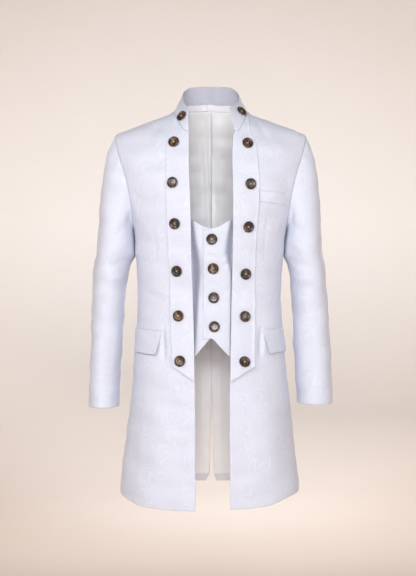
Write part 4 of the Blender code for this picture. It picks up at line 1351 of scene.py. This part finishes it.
# %% Waistcoat front
LAP_GAP, FOLD_LIMITS = 0.0008, (-0.005, 0.0022)
waistcoat_face = {}
for side in (-1, 1):
    rows = slice(FLAP_ROWS[0] * ROW_FINE, (FLAP_ROWS[0] + WAISTCOAT_STEPS) * ROW_FINE + 1)
    sewn = fronts[side][rows, BAND_LINE]
    share = np.linspace(0, 1, 61)
    table = WAISTCOAT[:, 0]
    extra = 0 if side > 0 else WAISTCOAT_WALL + LAP_GAP
    deep = smooth(share, table, WAISTCOAT[:, 1]) + extra * np.clip(2 * share, 0, 1)
    top_edge, hem_edge = (smooth(share, table, WAISTCOAT[:, k]) for k in (2, 3))
    x = sewn[:, None, 0] * (1 - share) - side * OVERLAP * share
    up = np.linspace(0, 1, len(sewn))[:, None]
    z = hem_edge + (top_edge - hem_edge) * up
    near = np.clip(1 - share / 0.18, 0, 1)
    z = z * (1 - near) + sewn[:, 2:3] * near
    face = at_height(x, z, -1)
    normal = outward(face)
    stand = folds(x, z, WAISTCOAT_FOLDS) * ease(share / 0.2) * (0.4 if side < 0 else 1)
    follow = laid[side, -1][2][rows, BAND_LINE][:, None] * (1 - ease(share / 0.5))
    hidden = ease(share / 0.4)
    stand = np.clip(stand, *FOLD_LIMITS) - hidden * waistcoat_dip(x, z)
    outer = face - (deep - follow - stand)[..., None] * normal
    inner = outer - WAISTCOAT_WALL * normal
    waistcoat_face[side] = outer
    name = "waistcoat_" + HAND[side]
    worn(name, outer, inner, [brocade, brocade_back], "stretched", ["front_%s_cloth" % HAND[side]],
         seams={"start": 1}, start=(0.1 * side, 2.1))

# %% [markdown]
# The button blank is turned: a flat back with a rounded edge, a raised rim and a dished middle.
# All eighteen buttons are 26.4 mm wide and share one mesh.

# %% Turned blank
# distance from the axis, height
BUTTON_PROFILE = MM * np.array([
    (0.0, 0.0), (6.0, 0.0), (10.4, 0.15), (12.2, 0.7), (13.05, 1.6), (13.2, 2.4), (13.0, 3.3),
    (12.4, 3.95), (11.7, 4.2), (11.0, 4.1), (10.3, 3.6), (9.8, 2.9), (9.2, 2.45), (8.0, 2.2),
    (5.0, 1.98), (0.0, 1.9)])


def turned(profile, sides):
    """Points and faces of a shape turned on an axis; the profile starts and ends on it."""
    turn = 2 * math.pi * np.arange(sides) / sides
    rings = [np.stack([r * np.cos(turn), r * np.sin(turn), np.full(sides, z)], 1)
             for r, z in profile[1:-1]]
    points = np.concatenate([[(0, 0, profile[0, 1])], *rings, [(0, 0, profile[-1, 1])]])
    ids = 1 + np.arange(len(rings) * sides).reshape(len(rings), sides)
    ids = np.concatenate([ids, ids[:, :1]], 1)
    faces = [(0, b, a) for a, b in zip(ids[0, :-1], ids[0, 1:])]
    faces += [tuple(f) for a, b in zip(ids[:-1], ids[1:])
              for f in zip(a[:-1], a[1:], b[1:], b[:-1])]
    faces += [(len(points) - 1, a, b) for a, b in zip(ids[-1, :-1], ids[-1, 1:])]
    return points, [tuple(int(i) for i in f) for f in faces]


blank = new_piece("button_blank", *turned(BUTTON_PROFILE, 48))
print("blank:", len(blank.data.vertices), "points")

# %% [markdown]
# The four sewing holes are drilled through the blank, here by a Boolean cut with four turned
# drills that widen at the top, as a countersunk hole does.

# %% Four sewing holes
HOLE_FROM_AXIS = 0.0017
DRILL = MM * np.array([(0, -1), (1.05, -1), (1.05, 1.7), (1.35, 2.3), (1.35, 5), (0, 5)])
drills = []
for x, y in ((1, 1), (1, -1), (-1, 1), (-1, -1)):
    drill = new_piece("drill", *turned(DRILL, 16))
    drill.location = (HOLE_FROM_AXIS * x, HOLE_FROM_AXIS * y, 0)
    cut = blank.modifiers.new("hole", "BOOLEAN")
    cut.operation, cut.solver, cut.object = "DIFFERENCE", "EXACT", drill
    drills.append(drill)
bpy.context.view_layer.update()
drilled = bpy.data.meshes.new_from_object(
    blank.evaluated_get(bpy.context.evaluated_depsgraph_get()))
for scrap in [blank, *drills]:
    bpy.data.objects.remove(scrap)
print("drilled blank:", len(drilled.polygons), "faces")

# %% [markdown]
# Two crossed stitches hold the button, each of three strands of thread that dive into opposite
# holes. The second stitch lies on the first.

# %% Crossed stitches
STRAND, STRANDS_APART = 0.00023, 0.00034


def strand(path, radius, sides=8):
    """Points and faces of a round strand of thread along a path."""
    along = unit(np.gradient(path, axis=0))
    side = unit(np.cross(along, (0.3, 0.2, 1.0)))
    other = np.cross(side, along)
    turn = 2 * math.pi * np.arange(sides) / sides
    rings = (path[:, None] + radius * (side[:, None] * np.cos(turn)[None, :, None]
                                       + other[:, None] * np.sin(turn)[None, :, None]))
    ids = np.arange(rings.shape[0] * sides).reshape(-1, sides)
    ids = np.concatenate([ids, ids[:, :1]], 1)
    faces = [f for a, b in zip(ids[:-1], ids[1:]) for f in zip(a[:-1], b[:-1], b[1:], a[1:])]
    faces += [tuple(ids[0, :-1]), tuple(ids[-1, :-1][::-1])]
    return rings.reshape(-1, 3), [tuple(int(i) for i in f) for f in faces]


points = [tuple(v.co) for v in drilled.vertices]
faces = [tuple(f.vertices) for f in drilled.polygons]
skins = [0] * len(faces)
for diagonal in (1, -1):
    for shift in (-STRANDS_APART, 0.0, STRANDS_APART):
        t = np.linspace(-1, 1, 21)[:, None]
        place = np.array([(1.0, diagonal, 0)]) * 0.00172 * np.clip(1.35 * t, -1, 1)
        place = place + shift * np.array([(-diagonal, 1.0, 0)]) / math.sqrt(2)
        height = 0.0024 + (0.00035 if diagonal > 0 else 0.0) - 0.0020 * np.abs(t) ** 7
        path = place + height * np.array([(0, 0, 1.0)])
        more, sides = strand(path, STRAND)
        faces += [tuple(i + len(points) for i in f) for f in sides]
        points += [tuple(p) for p in more.tolist()]
        skins += [1] * len(sides)
button_mesh = bpy.data.meshes.new("turned_button")
button_mesh.from_pydata(points, [], faces)
button_mesh.materials.append(horn)
button_mesh.materials.append(thread)
button_mesh.polygons.foreach_set("material_index", np.array(skins, np.int32))
button_mesh.shade_smooth()
button_mesh.set_sharp_from_angle(angle=math.radians(38))
print("button:", len(button_mesh.polygons), "faces")

# %% [markdown]
# Each button sits on the cloth that carries it, square to the cloth under it, and clears it all
# round by 0.3 mm, as the stitches' slack does. A sewn button can turn a little, so each has its
# own angle.

# %% Buttons in place
UNDER_BUTTON = 0.0138          # a little over the button's radius


def seat_on(face, centre):
    """Seat and facing of a button near a point, on a finely divided grid."""
    near = ((face - centre) ** 2).sum(-1)
    r, c = np.unravel_index(near.argmin(), near.shape)
    rows = np.clip(np.linspace(r - 6, r + 6, 97), 0, face.shape[0] - 1)[:, None]
    columns = np.clip(np.linspace(c - 6, c + 6, 97), 0, face.shape[1] - 1)[None]
    cloth = between(face, rows, columns).reshape(-1, 3)
    normal = between(grid_normals(face, face * (1, 1, 0)), rows, columns).reshape(-1, 3)
    at = ((cloth - centre) ** 2).sum(1).argmin()
    under = ((cloth - cloth[at]) ** 2).sum(1) < UNDER_BUTTON ** 2
    facing = unit(normal[under].mean(0))
    lift = ((cloth[under] - cloth[at]) @ facing).max()
    return cloth[at] + (lift + SEAM) * facing, facing


carried = {"button_waistcoat_%d" % (i + 1): waistcoat_face[1] for i in range(4)}
for side in (-1, 1):
    carried["button_collar_" + HAND[side]] = collar_outer
    carried.update({"button_%s_%d" % (HAND[side], i + 1): bands[side] for i in range(6)})
for number, (node, face) in enumerate(sorted(carried.items())):
    low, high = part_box(node)
    seat, facing = seat_on(face, (np.array(low) + np.array(high)) / 2)
    z_axis = Vector(facing)
    x_axis = Vector((0, 0, 1)).cross(z_axis).normalized()
    turn = Matrix.Rotation(math.radians((47 * number) % 34 - 17), 3, "Z")
    frame_of = Matrix((x_axis, z_axis.cross(x_axis), z_axis)).transposed() @ turn
    button = link(bpy.data.objects.new(node + "_horn", button_mesh))
    button.matrix_world = Matrix.Translation(Vector(seat)) @ frame_of.to_4x4()
    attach(button, "root")
    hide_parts(node)
print("buttons placed:", len(carried))

# %% [markdown]
# The studio has a plain cream backdrop that sweeps up from the floor all round, so every view
# has the same pale ground behind the coat. It is painted plaster, matt and a little uneven. Its
# colour also carries painted shade: darker towards the floor and lighter higher up.

# %% Backdrop
FLOOR, SWEEP, WALL_AT, WALL_TOP = -1.48, 1.5, 4.2, 3.0
plaster, tree, shader = new_material("cream_backdrop")
place = add(tree, "TexCoord").outputs["Object"]
mottle = add(tree, "TexNoise", {"Vector": place, "Scale": 1.3, "Detail": 3.0})
# painted shade: the colour is darker towards the floor, standing in for less light low down
height = add(tree, "SeparateXYZ", [place]).outputs["Z"]
height = add(tree, "MapRange", {"Value": height, "From Min": FLOOR, "From Max": 0.1,
                                "To Min": 0.0, "To Max": 0.85}, interpolation_type="SMOOTHSTEP")
mottle_and_painted_shade = add(tree, "Math", (mottle, 0.15, height), operation="MULTIPLY_ADD")
shade = add(tree, "Mix", {0: mottle_and_painted_shade, 6: linear("#DDCDC2"), 7: linear("#F5EAE2")},
            data_type="RGBA")
fill(tree, shader, {"Base Color": shade.outputs[2], "Roughness": 0.85})

turn = np.radians(np.linspace(0, 90, 13))
foot = WALL_AT - SWEEP
sweep = [(r, FLOOR) for r in (0.0, 1.0, 2.0, foot)]
sweep += [(foot + SWEEP * math.sin(a), FLOOR + SWEEP * (1 - math.cos(a))) for a in turn[1:]]
sweep += [(WALL_AT, z) for z in (0.8, 1.8, WALL_TOP)]
sides = 96
angle = 2 * math.pi * np.arange(sides) / sides
points = [(0, 0, FLOOR)]
points += [(r * math.cos(a), r * math.sin(a), z) for r, z in sweep[1:] for a in angle]
faces = [(0, 1 + i, 1 + (i + 1) % sides) for i in range(sides)]
for k in range(len(sweep) - 2):
    for i in range(sides):
        a, b = 1 + k * sides + i, 1 + k * sides + (i + 1) % sides
        faces.append((a, a + sides, b + sides, b))
backdrop = new_piece("backdrop", points, faces)
backdrop.data.materials.append(plaster)
backdrop.data.shade_smooth()
print("backdrop:", len(faces), "faces")

# %% [markdown]
# The main light is large and soft and stands in front, above the camera, with a low weak one
# under it for the hem. A smaller one on the left shapes the folds, and a weak one on the right
# fills the shadows. One behind the coat lights its back, and one aimed up washes the wall. All
# are slightly cool, so that the cloth stays bluish white.

# %% Soft lights
COOL = (0.95, 0.98, 1.0)


def soft_light(name, place, aim, size, watts, colour=COOL):
    lamp = bpy.data.lights.new(name, "AREA")
    lamp.shape, lamp.size, lamp.size_y, lamp.energy = "RECTANGLE", *size, watts
    lamp.color = colour
    holder = link(bpy.data.objects.new(name, lamp))
    holder.location = place
    holder.rotation_euler = (Vector(aim) - Vector(place)).to_track_quat("-Z", "Y").to_euler()
    holder.visible_camera = False


soft_light("front", (0.0, -3.4, 0.40), (0, 0, -0.30), (1.3, 0.9), 64)
soft_light("front_low", (0.0, -3.4, -0.75), (0, 0, -0.6), (1.2, 0.6), 5)
soft_light("key", (-1.7, -2.6, 0.6), (0, 0, -0.30), (0.7, 0.7), 26)
soft_light("fill", (1.9, -2.4, 0.1), (0, 0, -0.35), (1.2, 1.2), 12, (0.93, 0.97, 1.0))
soft_light("wall_wash", (0, 0.65, -0.1), (0, 4.2, 1.0), (1.4, 1.2), 33, (0.92, 0.97, 1.0))
soft_light("behind", (0.6, 3.0, 0.5), (0, 0, -0.45), (2.0, 1.8), 38, (0.96, 0.98, 1.0))

# a cooler lamp hidden behind the coat brightens the middle of the backdrop
lamp = bpy.data.lights.new("backdrop_lamp", "SPOT")
lamp.energy, lamp.spot_size, lamp.spot_blend = 150, math.radians(88), 1.0
lamp.color, lamp.shadow_soft_size = (0.55, 0.82, 1.0), 0.2
holder = link(bpy.data.objects.new("backdrop_lamp", lamp))
holder.location, holder.rotation_euler = (0, 0.55, -0.45), (math.radians(90), 0, 0)

world = bpy.data.worlds.new("studio")
world.use_nodes = True
world.node_tree.nodes["Background"].inputs["Color"].default_value = linear("#FFF8F2")
world.node_tree.nodes["Background"].inputs["Strength"].default_value = 0.2
bpy.context.scene.world = world
print("lamps:", len(bpy.data.lights))

# %% [markdown]
# The camera looks level at the coat's middle from 2.45 m, as in the photograph, with a 62 mm
# lens. A plain sRGB view is set, because the default curve turns a photograph's near whites
# grey.

# %% Camera
bpy.context.scene.view_settings.view_transform = "Standard"
lens = bpy.data.cameras.new("camera")
lens.lens, lens.sensor_width = 62.2, 36.0
camera = link(bpy.data.objects.new("camera", lens))
camera.location = (-0.0062, -2.45, -0.43)
camera.rotation_euler = (math.radians(90), 0, 0)
bpy.context.scene.camera = camera
print("camera at", tuple(round(c, 3) for c in camera.location))
